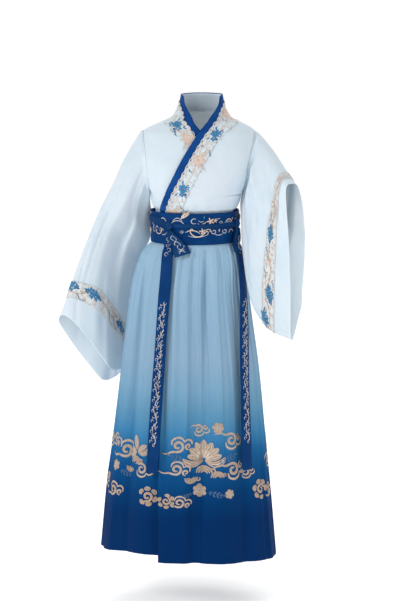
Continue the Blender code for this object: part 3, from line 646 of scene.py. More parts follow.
def cloth_net(columns, rows, loop, size):
    """A net of faces whose UV map is in metres of flat cloth; with loop it closes into a tube."""
    net = bmesh.new()
    bmesh.ops.create_grid(net, x_segments=columns, y_segments=rows, size=0.5)
    flat = net.loops.layers.uv.new("cloth")
    for face in net.faces:
        for corner in face.loops:
            place = corner.vert.co
            corner[flat].uv = ((place.x + 0.5) * size[0], (place.y + 0.5) * size[1])
    if loop:
        first = {round(v.co.y * rows): v for v in net.verts if v.co.x < -0.4999}
        last = [v for v in net.verts if v.co.x > 0.4999]
        bmesh.ops.weld_verts(net, targetmap={v: first[round(v.co.y * rows)] for v in last})
    return net


def lay_net(net, place):
    """Move a net's points onto a surface; place takes all u and v, 0 to 1, and gives mm."""
    spots = np.array([vertex.co for vertex in net.verts])
    found = place(spots[:, 0] + 0.5, spots[:, 1] + 0.5) * MM
    for vertex, spot in zip(net.verts, found):
        vertex.co = spot
    return net


def new_piece(name, net, material):
    """Turn a net in metres into a smooth piece of a material."""
    mesh = bpy.data.meshes.new(name)
    net.to_mesh(mesh)
    net.free()
    mesh.shade_smooth()
    mesh.materials.append(material)
    piece = bpy.data.objects.new(name, mesh)
    bpy.context.scene.collection.objects.link(piece)
    return piece


pieces = {}     # by the CAD node that they stand for
slots = {}


def finish_piece(name, net, material, slot_name, wall=0, node=None):
    """Turn a net in metres into a piece with its wall, material and place in the frame."""
    piece = new_piece(name, net, material)
    if wall:
        solid = piece.modifiers.new("wall", "SOLIDIFY")
        solid.thickness = wall * MM
        solid.offset = 0
        solid.use_even_offset = False
    if node:
        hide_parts(node)
        pieces[node], slots[node] = piece, slot_name
    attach(piece, "root")
    return piece


def cloth_piece(node, kind, slot_name, material, place, columns, rows, size, wall=CLOTH, loop=False,
                flip=False):
    """A sheet of cloth laid by a function of u and v; size is its map's width and length in m."""
    net = lay_net(cloth_net(columns, rows, loop, size), place)
    if flip:
        bmesh.ops.reverse_faces(net, faces=net.faces)
    finish_piece(node + "_" + kind, net, material, slot_name, wall, node)


# ---------------------------------------------------------------- materials
ONE_BAND = 0.31416     # a wave texture's scale for one band to a unit
GLOW_DEPTH = 6


def add_node(tree, kind, settings=(), links=()):
    """A node with its settings, by socket or property, and what feeds its sockets.

    A colour ramp's stops are (place, hex colour).
    """
    node = tree.nodes.new(kind)
    for key, value in dict(settings).items():
        if key == "stops":
            for place, _ in value[1:-1]:
                node.color_ramp.elements.new(place)
            for element, (place, code) in zip(node.color_ramp.elements, value):
                element.position, element.color = place, to_linear(code)
        elif isinstance(key, int) or key in node.inputs:
            node.inputs[key].default_value = value
        else:
            setattr(node, key, value)
    for socket, source in dict(links).items():
        tree.links.new(source, node.inputs[socket])
    return node


def new_cloth(name, roughness, gloss, sheen=0, sheen_colour="#ffffff", glow=0):
    """A Principled surface for cloth; threads scatter, so its mirror gloss is low.

    Thin cloth glows a little from behind.
    """
    material = bpy.data.materials.new(name)
    material.use_nodes = True
    surface = {"Roughness": roughness, "Specular IOR Level": gloss, "Sheen Weight": sheen,
               "Sheen Tint": to_linear(sheen_colour), "Sheen Roughness": 0.6}
    if glow:
        surface.update({"Subsurface Weight": glow, "Subsurface Radius": (1, 1, 1),
                        "Subsurface Scale": GLOW_DEPTH * MM})
    for key, value in surface.items():
        material.node_tree.nodes["Principled BSDF"].inputs[key].default_value = value
    return material, material.node_tree


def threads(tree, width, slub, ways="XY", detail=1):
    """Threads of that width in mm as a height, a little uneven; two ways make a plain weave."""
    flat = add_node(tree, "ShaderNodeUVMap", {"uv_map": "cloth"})
    fitted = add_node(tree, "ShaderNodeMapping", {"Scale": (1 / (width * MM),) * 3},
                      {"Vector": flat.outputs["UV"]})
    rows = [add_node(tree, "ShaderNodeTexWave",
                     {"wave_type": "BANDS", "bands_direction": way, "Scale": ONE_BAND,
                      "Distortion": slub, "Detail": detail},
                     {"Vector": fitted.outputs["Vector"]}).outputs["Fac"]
            for way in ways]
    if len(rows) == 1:
        return rows[0]
    return add_node(tree, "ShaderNodeMath", {"operation": "MAXIMUM"},
                    enumerate(rows)).outputs["Value"]


def soft_clouds(tree, size, detail=3, stretch=(1, 1, 1)):
    """Noise on object coordinates whose patches are about that many mm across."""
    where = add_node(tree, "ShaderNodeTexCoord")
    fitted = add_node(tree, "ShaderNodeMapping", {"Scale": stretch},
                      {"Vector": where.outputs["Object"]})
    return add_node(tree, "ShaderNodeTexNoise",
                    {"Scale": 1 / (size * MM), "Detail": detail, "Roughness": 0.55},
                    {"Vector": fitted.outputs["Vector"]}).outputs["Fac"]


def finish_cloth(material, factor, stops, tint, height, relief):
    """Its colours along a factor, its tint (noise, hex colour, amount) and its relief in mm."""
    tree = material.node_tree
    colour = add_node(tree, "ShaderNodeValToRGB", {"stops": stops},
                      {"Fac": factor}).outputs["Color"]
    if tint:
        noise, code, amount = tint
        eased = add_node(tree, "ShaderNodeMath", {"operation": "MULTIPLY", 1: amount}, {0: noise})
        colour = add_node(tree, "ShaderNodeMix",
                          {"data_type": "RGBA", "blend_type": "MULTIPLY", 7: to_linear(code)},
                          {0: eased.outputs["Value"], 6: colour}).outputs[2]
    bump = add_node(tree, "ShaderNodeBump", {"Distance": relief * MM}, {"Height": height})
    shader = tree.nodes["Principled BSDF"]
    tree.links.new(colour, shader.inputs["Base Color"])
    tree.links.new(bump.outputs["Normal"], shader.inputs["Normal"])
    return material


def chiffon_height(tree, size, stretch):
    """Crinkles of that size in mm over a plain weave."""
    # threads of 0.12 mm can't show at this distance, so they are drawn 1.1 mm wide
    weave, crinkle = threads(tree, 1.1, 0.35), soft_clouds(tree, size, 4, stretch)
    return add_node(tree, "ShaderNodeMath", {"operation": "MULTIPLY_ADD", 1: 0.25},
                    {0: weave, 2: crinkle}).outputs["Value"]


# Polyester chiffon, plain woven and crinkled: a matte veil with a faint bloom at its edges
def make_blouse_chiffon():
    material, tree = new_cloth("ice blue chiffon", 0.75, 0.06, 0.04, "#eef6ff", 0.3)
    return finish_cloth(material, soft_clouds(tree, 150, 2),
                        ((0.25, "#dfe7f2"), (0.5, "#d8e6ef"), (0.75, "#cfe0eb")),
                        (soft_clouds(tree, 9, 4, (1, 1, 0.35)), "#e2ecf6", 0.35),
                        chiffon_height(tree, 6, (1.4, 1.4, 0.4)), 0.3)


# Dip-dyed chiffon: pale sky at the waist that deepens to navy at the hem
DYE_TOP, DYE_FOOT = -0.285, -1.035     # heights in metres where the colours start and end
DYES = ((0, "#9cbbd0"), (0.18, "#91b1c8"), (0.34, "#8dabc2"), (0.43, "#7ba3be"),
        (0.50, "#6395b4"), (0.57, "#4081ad"), (0.63, "#1f6497"), (0.69, "#0b4d82"),
        (0.76, "#013b6e"), (0.84, "#002d5e"), (1, "#002c5e"))


def make_ombre_chiffon():
    material, tree = new_cloth("dip dyed chiffon", 0.75, 0.05)
    where = add_node(tree, "ShaderNodeTexCoord")
    parted = add_node(tree, "ShaderNodeSeparateXYZ", links={"Vector": where.outputs["Object"]})
    # the dye's edge wanders by up to 30 mm
    pulled = add_node(tree, "ShaderNodeMath", {"operation": "MULTIPLY_ADD", 1: 0.03},
                      {0: soft_clouds(tree, 60, 2, (1, 1, 0.5)), 2: parted.outputs["Z"]})
    place = add_node(tree, "ShaderNodeMapRange", {"From Min": DYE_TOP, "From Max": DYE_FOOT},
                     {"Value": pulled.outputs["Value"]})
    return finish_cloth(material, place.outputs["Result"], DYES,
                        (soft_clouds(tree, 7, 4, (1, 1, 0.12)), "#b9cfe6", 0.3),
                        chiffon_height(tree, 5, (1.5, 1.5, 0.2)), 0.3)


# Polyester satin: dense, with long floats across the strap that give a soft lengthwise shine
def make_satin(name, dark, light, roughness):
    material, tree = new_cloth(name, roughness, 0.06)
    return finish_cloth(material, soft_clouds(tree, 35), ((0.3, dark), (0.7, light)),
                        (soft_clouds(tree, 2.2, 3, (1, 1, 0.25)), "#a8b4cc", 0.4),
                        threads(tree, 0.9, 0.2), 0.12)


# Nylon tulle backed with chiffon: whiter and drier than the blouse
def make_trim_ground(name, dark, light):
    material, tree = new_cloth(name, 0.8, 0.1, 0.04)
    return finish_cloth(material, soft_clouds(tree, 14), ((0.3, dark), (0.7, light)), None,
                        threads(tree, 1.3, 0.5), 0.25)


# Rayon embroidery floss in satin stitch: parallel threads that shine along the stitch, by their
# gloss and by a painted highlight on each stitch, with painted shade in the grooves between them
def make_floss(name, dark, light):
    material, tree = new_cloth(name, 0.38, 0.3, 0.04, light)
    # stitches 0.4 mm apart are drawn 0.7 mm apart so that they show
    stitches = threads(tree, 0.7, 0.6, "Y", 1.5)
    # the colour runs from the dark, painted shade in the grooves, to the light, a painted highlight
    # on the crowns
    return finish_cloth(material, stitches, ((0.1, dark), (0.6, light)),
                        (soft_clouds(tree, 11, 2), "#d8cfc8", 0.35), stitches, 0.25)


blouse_chiffon = make_blouse_chiffon()
ombre_chiffon = make_ombre_chiffon()
band_satin = make_satin("royal blue satin", "#073d7c", "#134d92", 0.45)
sash_satin = make_satin("navy satin", "#003266", "#043d75", 0.48)
tie_satin = make_satin("navy satin ribbon", "#0a3360", "#124070", 0.42)
trim_ground = make_trim_ground("white tulle ground", "#d2dfe8", "#d9e3e9")
cuff_ground = make_trim_ground("cream tulle ground", "#d7dee3", "#e0e3e3")
# Flosses: how high they stand on the cloth in mm, their material and its dark and light, which are
# painted shade in the grooves between stitches and a painted highlight on them
FLOSSES = {key: (level, make_floss(name, dark, light)) for key, level, name, dark, light in (
    ("cream", 0.55, "cream floss", "#ddd6cf", "#f5efe7"),
    ("peach", 0.45, "peach floss", "#dcc3b2", "#f2e0d2"),
    ("pink", 0.3, "pink floss", "#e2bcac", "#f4d6c8"),
    ("blue", 0.4, "bright blue floss", "#2878ae", "#4a9aca"),
    ("slate", 0.4, "slate blue floss", "#3c5f8c", "#5b7fa8"),
    ("gold", 0.4, "pale gold floss", "#c0a187", "#e0c5a8"),
    ("silver", 0.45, "silver white floss", "#aab4c8", "#e2e4ec"),
    ("dark", 0.65, "dark blue floss", "#123c6e", "#215a94"),
    ("sand", 0.15, "sand floss", "#9f8f82", "#bda794"),
    # painted shade round the raised stitches on the sash, laid as a wider dark stroke under each
    # light one
    ("night", 0.1, "painted shade rim", "#071428", "#0e2142"),
    ("ivory", 0.4, "ivory floss", "#cdbcab", "#f1e2d0"),
    ("beige", 0.25, "beige floss", "#d0bca8", "#e6d6c4"))}


# ---------------------------------------------------------------- the blouse
BODY_TOP = 48.5


def body_height(v):
    """Rows from the collar to the tucked hem, closer together at the shoulders."""
    return read_table(((0, BODY_TOP), (0.10, 15), (0.22, -10), (0.34, -34), (0.70, -175),
                       (0.86, -222), (1, BLOUSE_HEM)), v)[0]


def seam_turn(z):
    """A side seam's half gap, as a turn."""
    _, _, front, back, _ = read_table(BODY, z)
    return np.degrees(SEAM / 2 / (0.5 * (back - front)))


def off_seams(turn):
    """0 at the side seams, so that the folds leave the panels' edges there."""
    return smooth((np.abs(np.abs(turn) - SIDE) - 1) / 8)


def back_panel(u, v):
    z = body_height(v)
    gap = seam_turn(z)
    turn = mix(SIDE + gap, 360 - SIDE - gap, u)
    turn = np.where(turn > 180, turn - 360, turn)
    return on_body(turn, z, -body_dent(turn, z) * off_seams(turn))


def outer_panel(u, v):
    z = body_height(v)
    edge = edge_turn(1, z) + 1.2
    turn = mix(edge, SIDE - seam_turn(z), u)
    dent = body_dent(turn, z) * smooth((turn - edge - 26) / 14)
    return on_body(turn, z, front_lift(turn, z) - dent * off_seams(turn))


def inner_panel(u, v):
    z = body_height(v)
    edge = edge_turn(-1, z) - 1.2
    turn = mix(-SIDE + seam_turn(z), edge, u)
    hidden = smooth((edge_turn(1, z) - turn - 8) / 10)
    dent = body_dent(turn, z) * smooth((edge - turn - 26) / 14) * hidden
    return on_body(turn, z, -dent * off_seams(turn))


for node, panel, columns, size in (("blouse_back", back_panel, 100, (0.40, 0.56)),
                                   ("blouse_front_outer", outer_panel, 76, (0.27, 0.56)),
                                   ("blouse_front_inner", inner_panel, 76, (0.27, 0.56))):
    cloth_piece(node, "cloth", "blouse_cloth", blouse_chiffon, panel, columns, 110, size)


# ---------------------------------------------------------------- the sleeves
def sleeve_length(v):
    """Rows closer together at the armhole and at the cuff."""
    return read_table(((0, 0), (0.08, 0.04), (0.9, 0.94), (1, 1)), v)[0]


for name, size in (("right", (0.52, 0.60)), ("left", (0.62, 0.36))):
    def sleeve_wall(u, v, name=name):
        return on_sleeve(name, 360 * u, sleeve_length(v), 0)

    def strip_wall(u, v, name=name):
        return on_sleeve(name, 360 * u, mix(*SLEEVE_TRIM, v), CLOTH / 2 + LAY + TRIM_WALL / 2)

    cloth_piece("sleeve_" + name, "cloth", "blouse_cloth", blouse_chiffon, sleeve_wall, 140, 110,
                size, loop=True, flip=name == "left")
    cloth_piece("sleeve_trim_" + name, "ground", "trim_cloth", cuff_ground, strip_wall, 160, 14,
                (size[0], 0.05), TRIM_WALL, loop=True, flip=name == "left")


# ---------------------------------------------------------------- neckband and its strip
ON_PANEL = CLOTH / 2 + NECK_LAY + TRIM_WALL / 2
ON_BAND = ON_PANEL + TRIM_WALL + 0.7
BAND_ENDS = {1: 1, -1: INNER_BAND_END}
STRIP_ENDS = {1: 0.955, -1: INNER_BAND_END}
SCALLOPS = {1: 25, -1: 19}


def strip_point(side, along, distance, out):
    """A point beside the neckband, on the blouse or over the band."""
    turn, z = beside_band(side, along, distance)
    return on_body(turn, z, out + panel_lift(side, turn, z))


def lap(distance):
    """1 over the neckband's sewn edge, 0 from 4.5 mm past it."""
    return 1 - smooth((distance - 0.9) / 3.6)


def strip_shown(side, along, end):
    """1 where the strip laps the band, 0 past a place where it lies flat under the outer front."""
    return 1 + 0 * along if side > 0 else smooth((end - along) / 0.03)


SIDES = ((1, "outer"), (-1, "inner"))
for side, name in SIDES:
    def band_wall(u, v, side=side):
        turn, z = band_point(side, even_places(side, BAND_ENDS[side], 200, v), u)
        return on_body(turn, z, ON_PANEL + 0.5 * np.sin(math.pi * u) + panel_lift(side, turn, z))

    def strip_sheet(u, v, side=side):
        along = even_places(side, STRIP_ENDS[side], 300, v)
        scallop = 4.6 * np.abs(np.sin(math.pi * v * SCALLOPS[side])) ** 0.7
        inner_edge = mix(LAY + 0 * along, 1.2 - scallop, strip_shown(side, along, 0.50))
        distance = np.where(u < 0.25, mix(inner_edge, 1.8, u / 0.25),
                            mix(1.8, TRIM_WIDTH, np.clip((u - 0.25) / 0.75, 0, 1)))
        level = mix(ON_PANEL, mix(ON_PANEL, ON_BAND, strip_shown(side, along, 0.54)), lap(distance))
        return strip_point(side, along, distance, level)

    cloth_piece("collar_band_" + name, "satin", "band_cloth", band_satin, band_wall, 10, 220,
                (0.02, 0.52), TRIM_WALL)
    cloth_piece("collar_trim_" + name, "ground", "trim_cloth", trim_ground, strip_sheet, 24, 420,
                (TRIM_WIDTH * MM, 0.50), TRIM_WALL)


# ---------------------------------------------------------------- sash, tie, knots and ends
def sash_wall(u, v):
    turn = 360 * u - 180
    z = mix(SASH_TOP, SASH_FOOT, v)
    swell = 0.8 * np.sin(math.pi * v) + 0.35 * np.sin(np.radians(turn * 7) + 5 * v)
    return on_sash(turn, z, SASH_OUT + 0.4 * swell)


def tie_wall(u, v):
    turn = 360 * u - 180
    beside = smooth((KNOT_RIGHT[0] - turn) / 25) + smooth((turn - KNOT_LEFT[0]) / 25)
    middle = mix(KNOT_RIGHT[1], TIE_BESIDE, beside)
    half_width = mix(5, 8, beside)
    crown = 1.9 * np.sin(math.pi * v) + 0.35 * sine_of(turn * 9) * np.sin(2 * math.pi * v)
    return on_sash(turn, middle + half_width * (1 - 2 * v), TIE_OUT + crown)


cloth_piece("waistband", "satin", "sash_cloth", sash_satin, sash_wall, 240, 24, (0.66, 0.073),
            SASH_WALL, loop=True)
cloth_piece("belt_tie", "satin", "tie_cloth", tie_satin, tie_wall, 240, 10, (0.66, 0.016),
            TRIM_WALL, loop=True)


def make_knot(node, knot):
    """A flat round knot: a padded ball with the strap's turns pressed into it."""
    turn, z = knot
    wide, deep, high = KNOT_HALF
    ball = bmesh.new()
    bmesh.ops.create_uvsphere(ball, u_segments=64, v_segments=40, radius=1)
    flat = ball.loops.layers.uv.new("cloth")
    middle = Vector(on_sash(turn, z, TIE_OUT + 6.2))
    out = (middle - Vector(on_sash(turn, z, TIE_OUT))).normalized()
    along = Vector((0, 0, 1)).cross(out).normalized()
    for face in ball.faces:
        for corner in face.loops:
            spot = corner.vert.co
            corner[flat].uv = (spot.x * 0.008, spot.z * 0.0095)
    for vertex in ball.verts:
        x, y, h = vertex.co
        pressed = (0.13 * math.exp(-((h - 0.30 - 0.35 * x) / 0.12) ** 2)
                   + 0.13 * math.exp(-((h + 0.34 + 0.25 * x) / 0.12) ** 2)
                   + 0.10 * math.exp(-((x - 0.55 + 0.2 * h) / 0.14) ** 2))
        size = 1 - pressed + 0.04 * math.sin(4 * x + 3 * h)
        vertex.co = (middle + along * (x * wide * size) + out * (y * deep * size)
                     + Vector((0, 0, high * h * size))) * MM
    finish_piece(node + "_satin", ball, tie_satin, "tie_cloth", 0, node)


LOOP_HALF = 1.35      # from a short end's middle to the middle of each of its two layers
LOOP_STAND = 8.2      # how far a short end stands off the sash
BELOW_TIE = 11        # from a knot's middle down to where a short end starts
LOOP_RADIUS = 100     # turns distances across a short end into turns about the vertical
LOOPS = {
    # knot, lean, length and width in mm
    "right": (KNOT_RIGHT, 41, 57, 27),
    "left": (KNOT_LEFT, -13, 57, 26),
}


def loop_place(name, u, down, out):
    """Points of a short end, 0 to 1 across and down."""
    (turn, z), lean, length, width = LOOPS[name]
    spread = mix(0.55, 1, smooth(down * 2.6))
    shift = lean * down + (u - 0.5) * width * spread
    tilt = 0.5 * lean / length * (u - 0.5) * width * down
    pinch = 1.6 * np.sin(3 * math.pi * u) * (1 - smooth(down * 1.6))
    stand = LOOP_STAND + 2.5 * np.sin(math.pi * down) + pinch + out
    return moved_out(outline, turn + np.degrees(shift / LOOP_RADIUS),
                     z - BELOW_TIE - length * down + tilt, stand, 0.6, 4)


def make_loop(name):
    """A strap folded over at its foot, its two layers a little apart."""
    _, _, length, width = LOOPS[name]

    def place(u, v):
        down = np.where(v < 0.5, v * 2, 2 - v * 2)
        turn_over = np.sqrt(np.clip(1 - ((down - 0.93) / 0.07) ** 2, 0, 1))
        layer = np.where(v < 0.5, 1, -1) * np.where(down > 0.93, turn_over, 1)
        return loop_place(name, u, down, LOOP_HALF * layer)

    cloth_piece("loop_" + name, "satin", "tie_cloth", tie_satin, place, 24, 140,
                (width * MM, 2 * length * MM), TRIM_WALL)


def tail_place(name, u, v, out):
    """Points of a long end, 0 to 1 across and down."""
    (knot_turn, knot_z), route = TAILS[name]
    start_z = knot_z - BELOW_KNOT
    z = mix(start_z, route[-1][0], v)
    x = read_table(route, z)[0]
    cx, half, front = read_table(SKIRT, z)[:3]
    turn = np.degrees(np.arcsin(np.clip((x - cx) / (half + 8), -1, 1)))
    turn = mix(knot_turn, turn, smooth((start_z - z) / 45))
    arc = np.hypot(half * cosine_of(turn), front * sine_of(turn))
    width = TAIL_WIDTH * mix(0.6, 1, smooth((start_z - z) / 30))
    turn = turn + np.degrees((u - 0.5) * width / arc)
    pinch = 1.3 * np.sin(2 * math.pi * u) * (1 - smooth((start_z - z) / 60))
    sway = 0.9 * np.sin(z / 38 + 2 * u) * smooth((start_z - z) / 120)
    cup = 1.2 * (u - 0.5) ** 2 * 4 * smooth((start_z - z) / 200)
    stand = 3 + 3 * smooth((SASH_FOOT - z) / 60) + pinch + sway - cup
    return moved_out(outline, turn, z, stand + out, 0.6, 4)


for name in TAILS:
    make_knot("knot_" + name, TAILS[name][0])
for name in TAILS:
    make_loop(name)
for name in TAILS:
    def tail_wall(u, v, name=name):
        return tail_place(name, u, v, 0)

    cloth_piece("tail_" + name, "satin", "tie_cloth", sash_satin, tail_wall, 14, 300,
                (TAIL_WIDTH * MM, 0.56), TRIM_WALL)


# ---------------------------------------------------------------- the skirt
SKIRT_SEAM = 94.5      # turn of the widths' side seams


def on_skirt(turn, share, out, lifted=False, lower=0):
    """Points of the skirt at a share of the way from its upper edge to its hem."""
    z = mix(SKIRT_TOP, hem_height(turn) + lower, share)

    def layer(here_turn, here_z):
        lift = wrap_lift(here_turn, here_z) if lifted else 0
        return skirt_surface(here_turn, here_z, lift)

    beside = np.minimum(np.abs(np.abs(turn) - SKIRT_SEAM), np.abs(np.abs(turn - 360) - SKIRT_SEAM))
    press = knife_pleats(turn, z) * smooth(beside / 4)
    return moved_out(layer, turn, z, out - press)


def skirt_share(v):
    """Rows closer together under the sash."""
    return read_table(((0, 0), (0.06, 0.03), (0.2, 0.12), (1, 1)), v)[0]


def seam_allowance(past):
    """Sets the edge that runs on past a seam behind its neighbour, in mm."""
    return -1.5 * smooth((0.5 - past) / 0.6)


def front_width(u, v):
    share = skirt_share(v)
    edge = wrap_edge(mix(SKIRT_TOP, hem_height(0), share))
    return on_skirt(mix(edge, SKIRT_SEAM - 0.1, u), share, 0, True)


def back_width(u, v):
    turn = mix(SKIRT_SEAM - 0.6, 360 - SKIRT_SEAM - 0.1, u)
    return on_skirt(turn, skirt_share(v), seam_allowance(turn - SKIRT_SEAM))


def under_width(u, v):
    turn = mix(-SKIRT_SEAM - 0.6, 58.5, u)
    return on_skirt(turn, skirt_share(v), seam_allowance(turn + SKIRT_SEAM),
                    lower=13 * smooth((turn + 90) / 60))


for node, width, columns, rows, size in (("skirt_front", front_width, 280, 110, (0.44, 0.77)),
                                         ("skirt_back", back_width, 320, 100, (0.60, 0.77)),
                                         ("skirt_under", under_width, 290, 100, (0.54, 0.76))):
    cloth_piece(node, "chiffon", "skirt_cloth", ombre_chiffon, width, columns, rows, size)


# ---------------------------------------------------------------- flat coordinates on the pieces
def neck_strip_place(side):
    """x runs down the strip from the nape, y across it from the neckband's sewn edge."""
    places, reach = band_reach(side, 0.003, BAND_ENDS[side])

    def place(x, y, out):
        level = ON_PANEL + TRIM_WALL / 2 + (ON_BAND - ON_PANEL) * lap(y)
        return strip_point(side, np.interp(x, reach, places), y, level + out)
    return place, reach[-1]


CUFF_STRIP = 40      # width of a sleeve's strip in its flat coordinates


def cuff_strip_place(name):
    """x runs round the sleeve from its top, over the front; y runs to the cuff."""
    middle = sum(SLEEVE_TRIM) / 2
    places, reach = reach_table(lambda turn: sleeve_surfaces[name](turn, middle), 0, 360, 721)

    def place(x, y, out):
        return on_sleeve(name, np.interp(x, reach, places), mix(*SLEEVE_TRIM, y / CUFF_STRIP),
                         CLOTH / 2 + LAY + TRIM_WALL + out)
    return place, reach[-1]


SASH_RADIUS = 92
ON_SASH = SASH_OUT + 1.2     # just over the sash's swell


def sash_place(x, y, out):
    """x runs round the sash from the front, y is the height."""
    return on_sash(np.degrees(x / SASH_RADIUS), y, ON_SASH + out)


def tail_strip_place(name):
    """x runs across the end from its middle, y down from its start."""
    (_, knot_z), route = TAILS[name]
    length = knot_z - BELOW_KNOT - route[-1][0]

    def place(x, y, out):
        return tail_place(name, 0.5 + x / TAIL_WIDTH, y / length, TRIM_WALL / 2 + out)
    return place


def loop_strip_place(name):
    """x runs across the short end from its middle, y down from its start."""
    _, _, length, width = LOOPS[name]

    def place(x, y, out):
        return loop_place(name, 0.5 + x / width, y / length, LOOP_HALF + TRIM_WALL / 2 + out)
    return place


SKIRT_RADIUS = 172


def skirt_place(lifted):
    """x runs round the skirt from the front, y is the height."""
    def place(x, y, out):
        turn = np.degrees(x / SKIRT_RADIUS)
        share = (SKIRT_TOP - y) / (SKIRT_TOP - hem_height(turn))
        return on_skirt(turn, share, CLOTH / 2 + out, lifted)
    return place


# ---------------------------------------------------------------- embroidery
STROKE_SIDES = 3
STITCH_DOME = 0.45      # height of a wide stroke's middle over its edges


def curve(knots, count):
    """Points of a smooth line through knots."""
    knots = np.asarray(knots, float)
    ends = np.vstack([2 * knots[0] - knots[1], knots, 2 * knots[-1] - knots[-2]])
    t = np.linspace(0, len(knots) - 1, count)
    row = np.minimum(t.astype(int), len(knots) - 2)
    t = (t - row)[:, None]
    a, b, c, d = (ends[row + step] for step in range(4))
    return 0.5 * (2 * b + (c - a) * t + (2 * a - 5 * b + 4 * c - d) * t ** 2
                  + (3 * b - a - 3 * c + d) * t ** 3)


def turned(strokes, x, y, angle=0, size=1, flip=1):
    """Strokes (knots, width, taper) turned, scaled and moved; flip -1 mirrors them."""
    c, s = cosine_of(angle) * size, sine_of(angle) * size
    turn = np.array(((c, s), (-s, c)))
    return [((np.asarray(knots, float) * (1, flip)) @ turn + (x, y), width * size, taper)
            for knots, width, taper in strokes]


def gather(design, motif, x=0, y=0, angle=0, size=1, flip=1):
    """Adds a motif, strokes by floss, to a design."""
    for floss, strokes in motif.items():
        design.setdefault(floss, []).extend(turned(strokes, x, y, angle, size, flip))
    return design


def ringed(strokes, count, x, y, size=1, start=90):
    """Strokes repeated round a point."""
    return [stroke for step in range(count)
            for stroke in turned(strokes, x, y, start + 360 * step / count, size)]


def across(line):
    """The way across a line at each of its points."""
    way = unit(np.gradient(line, axis=0))
    return np.column_stack([-way[:, 1], way[:, 0]])


def embroider(name, strokes, place, level, floss, slot_name):
    """One mesh of domed satin-stitch strokes, laid on a piece."""
    net = bmesh.new()
    flat = net.loops.layers.uv.new("cloth")
    spots, stitches = [], []
    for knots, width, taper in strokes:
        rough = curve(knots, 24)
        length = np.linalg.norm(np.diff(rough, axis=0), axis=1).sum()
        count = int(np.clip(length / max(1.6, 0.8 * width), 4, 48))
        made = bmesh.ops.create_grid(net, x_segments=STROKE_SIDES, y_segments=count, size=0.5)
        grid = np.array([vertex.co for vertex in made["verts"]])[:, :2] + 0.5
        row = np.rint(grid[:, 1] * count).astype(int)
        line = curve(knots, count + 1)
        full = 0.10 + 0.90 * np.sin(math.pi * np.linspace(0, 1, count + 1)) ** taper
        aside = (grid[:, 0] - 0.5) * width * full[row]
        spot = line[row] - across(line)[row] * aside[:, None]
        crown = STITCH_DOME * min(1, width / 2.5) * full[row]
        rise = level + crown * (1 - (2 * grid[:, 0] - 1) ** 2)
        spots.append(np.column_stack([spot, rise]))
        stitches.append(np.column_stack([aside, grid[:, 1] * length]) * MM)
    spots, stitches = np.vstack(spots), np.vstack(stitches)
    found = place(spots[:, 0], spots[:, 1], spots[:, 2]) * MM
    for number, (vertex, spot) in enumerate(zip(net.verts, found)):
        vertex.co = spot
        vertex.index = number
    for face in net.faces:
        for corner in face.loops:
            corner[flat].uv = stitches[corner.vert.index]
    return finish_piece(name, net, floss, slot_name, 0.3)


SPREAD_OUT = 0.618      # the golden section: multiples of it never bunch up
# Motifs, about one unit in size: knots, width, taper (0 keeps a stroke's width to its ends)
PETAL = [(((0.16, 0), (0.6, 0), (1, 0)), 0.66, 0.5)]
STAMEN = [(((0.08, 0), (0.22, 0.02), (0.36, 0)), 0.09, 0.3)]
LEAF = [(((0, 0), (0.5, 0.10), (1, 0)), 0.34, 0.9)]
HOOK = [(((0, 0), (0.35, 0.22), (0.7, 0.08), (0.86, -0.2), (0.68, -0.36), (0.52, -0.2)),
         0.13, 0.35)]
WAVE_CURL = [(((-0.9, -0.1), (-0.45, -0.32), (0, 0), (0.45, 0.32), (0.9, 0.1)), 0.17, 0.6)]


def spiral(radius, turns, start=-90, inner=0.22):
    """Knots of a curl that winds in."""
    t = np.linspace(0, 1, int(10 * turns) + 3)
    angle = np.radians(start + 360 * turns * t)
    reach = radius * mix(1, inner, t ** 0.8)
    return np.column_stack([reach * np.cos(angle), reach * np.sin(angle)])


def sprig(pairs, length, leaf, spread=50, stem=0.8):
    """A straight stem with leaves on both sides and one at its tip."""
    found = [(((0, 0), (0.5 * length, 0.03 * length), (length, 0)), stem, 0.2)] if stem else []
    for step in range(pairs):
        at = length * (step + 0.35) / pairs
        size = leaf * (1 - 0.35 * abs(2 * step / max(pairs - 1, 1) - 1))
        for way in (1, -1):
            found += turned(LEAF, at, 0, way * spread, size, way)
    return found + turned(LEAF, length * 0.96, 0, 0, leaf)


def shifted(knots, distance):
    """A line beside another one; the distance may change along it."""
    line = curve(knots, 40)
    return line + across(line) * np.reshape(distance, (-1, 1))


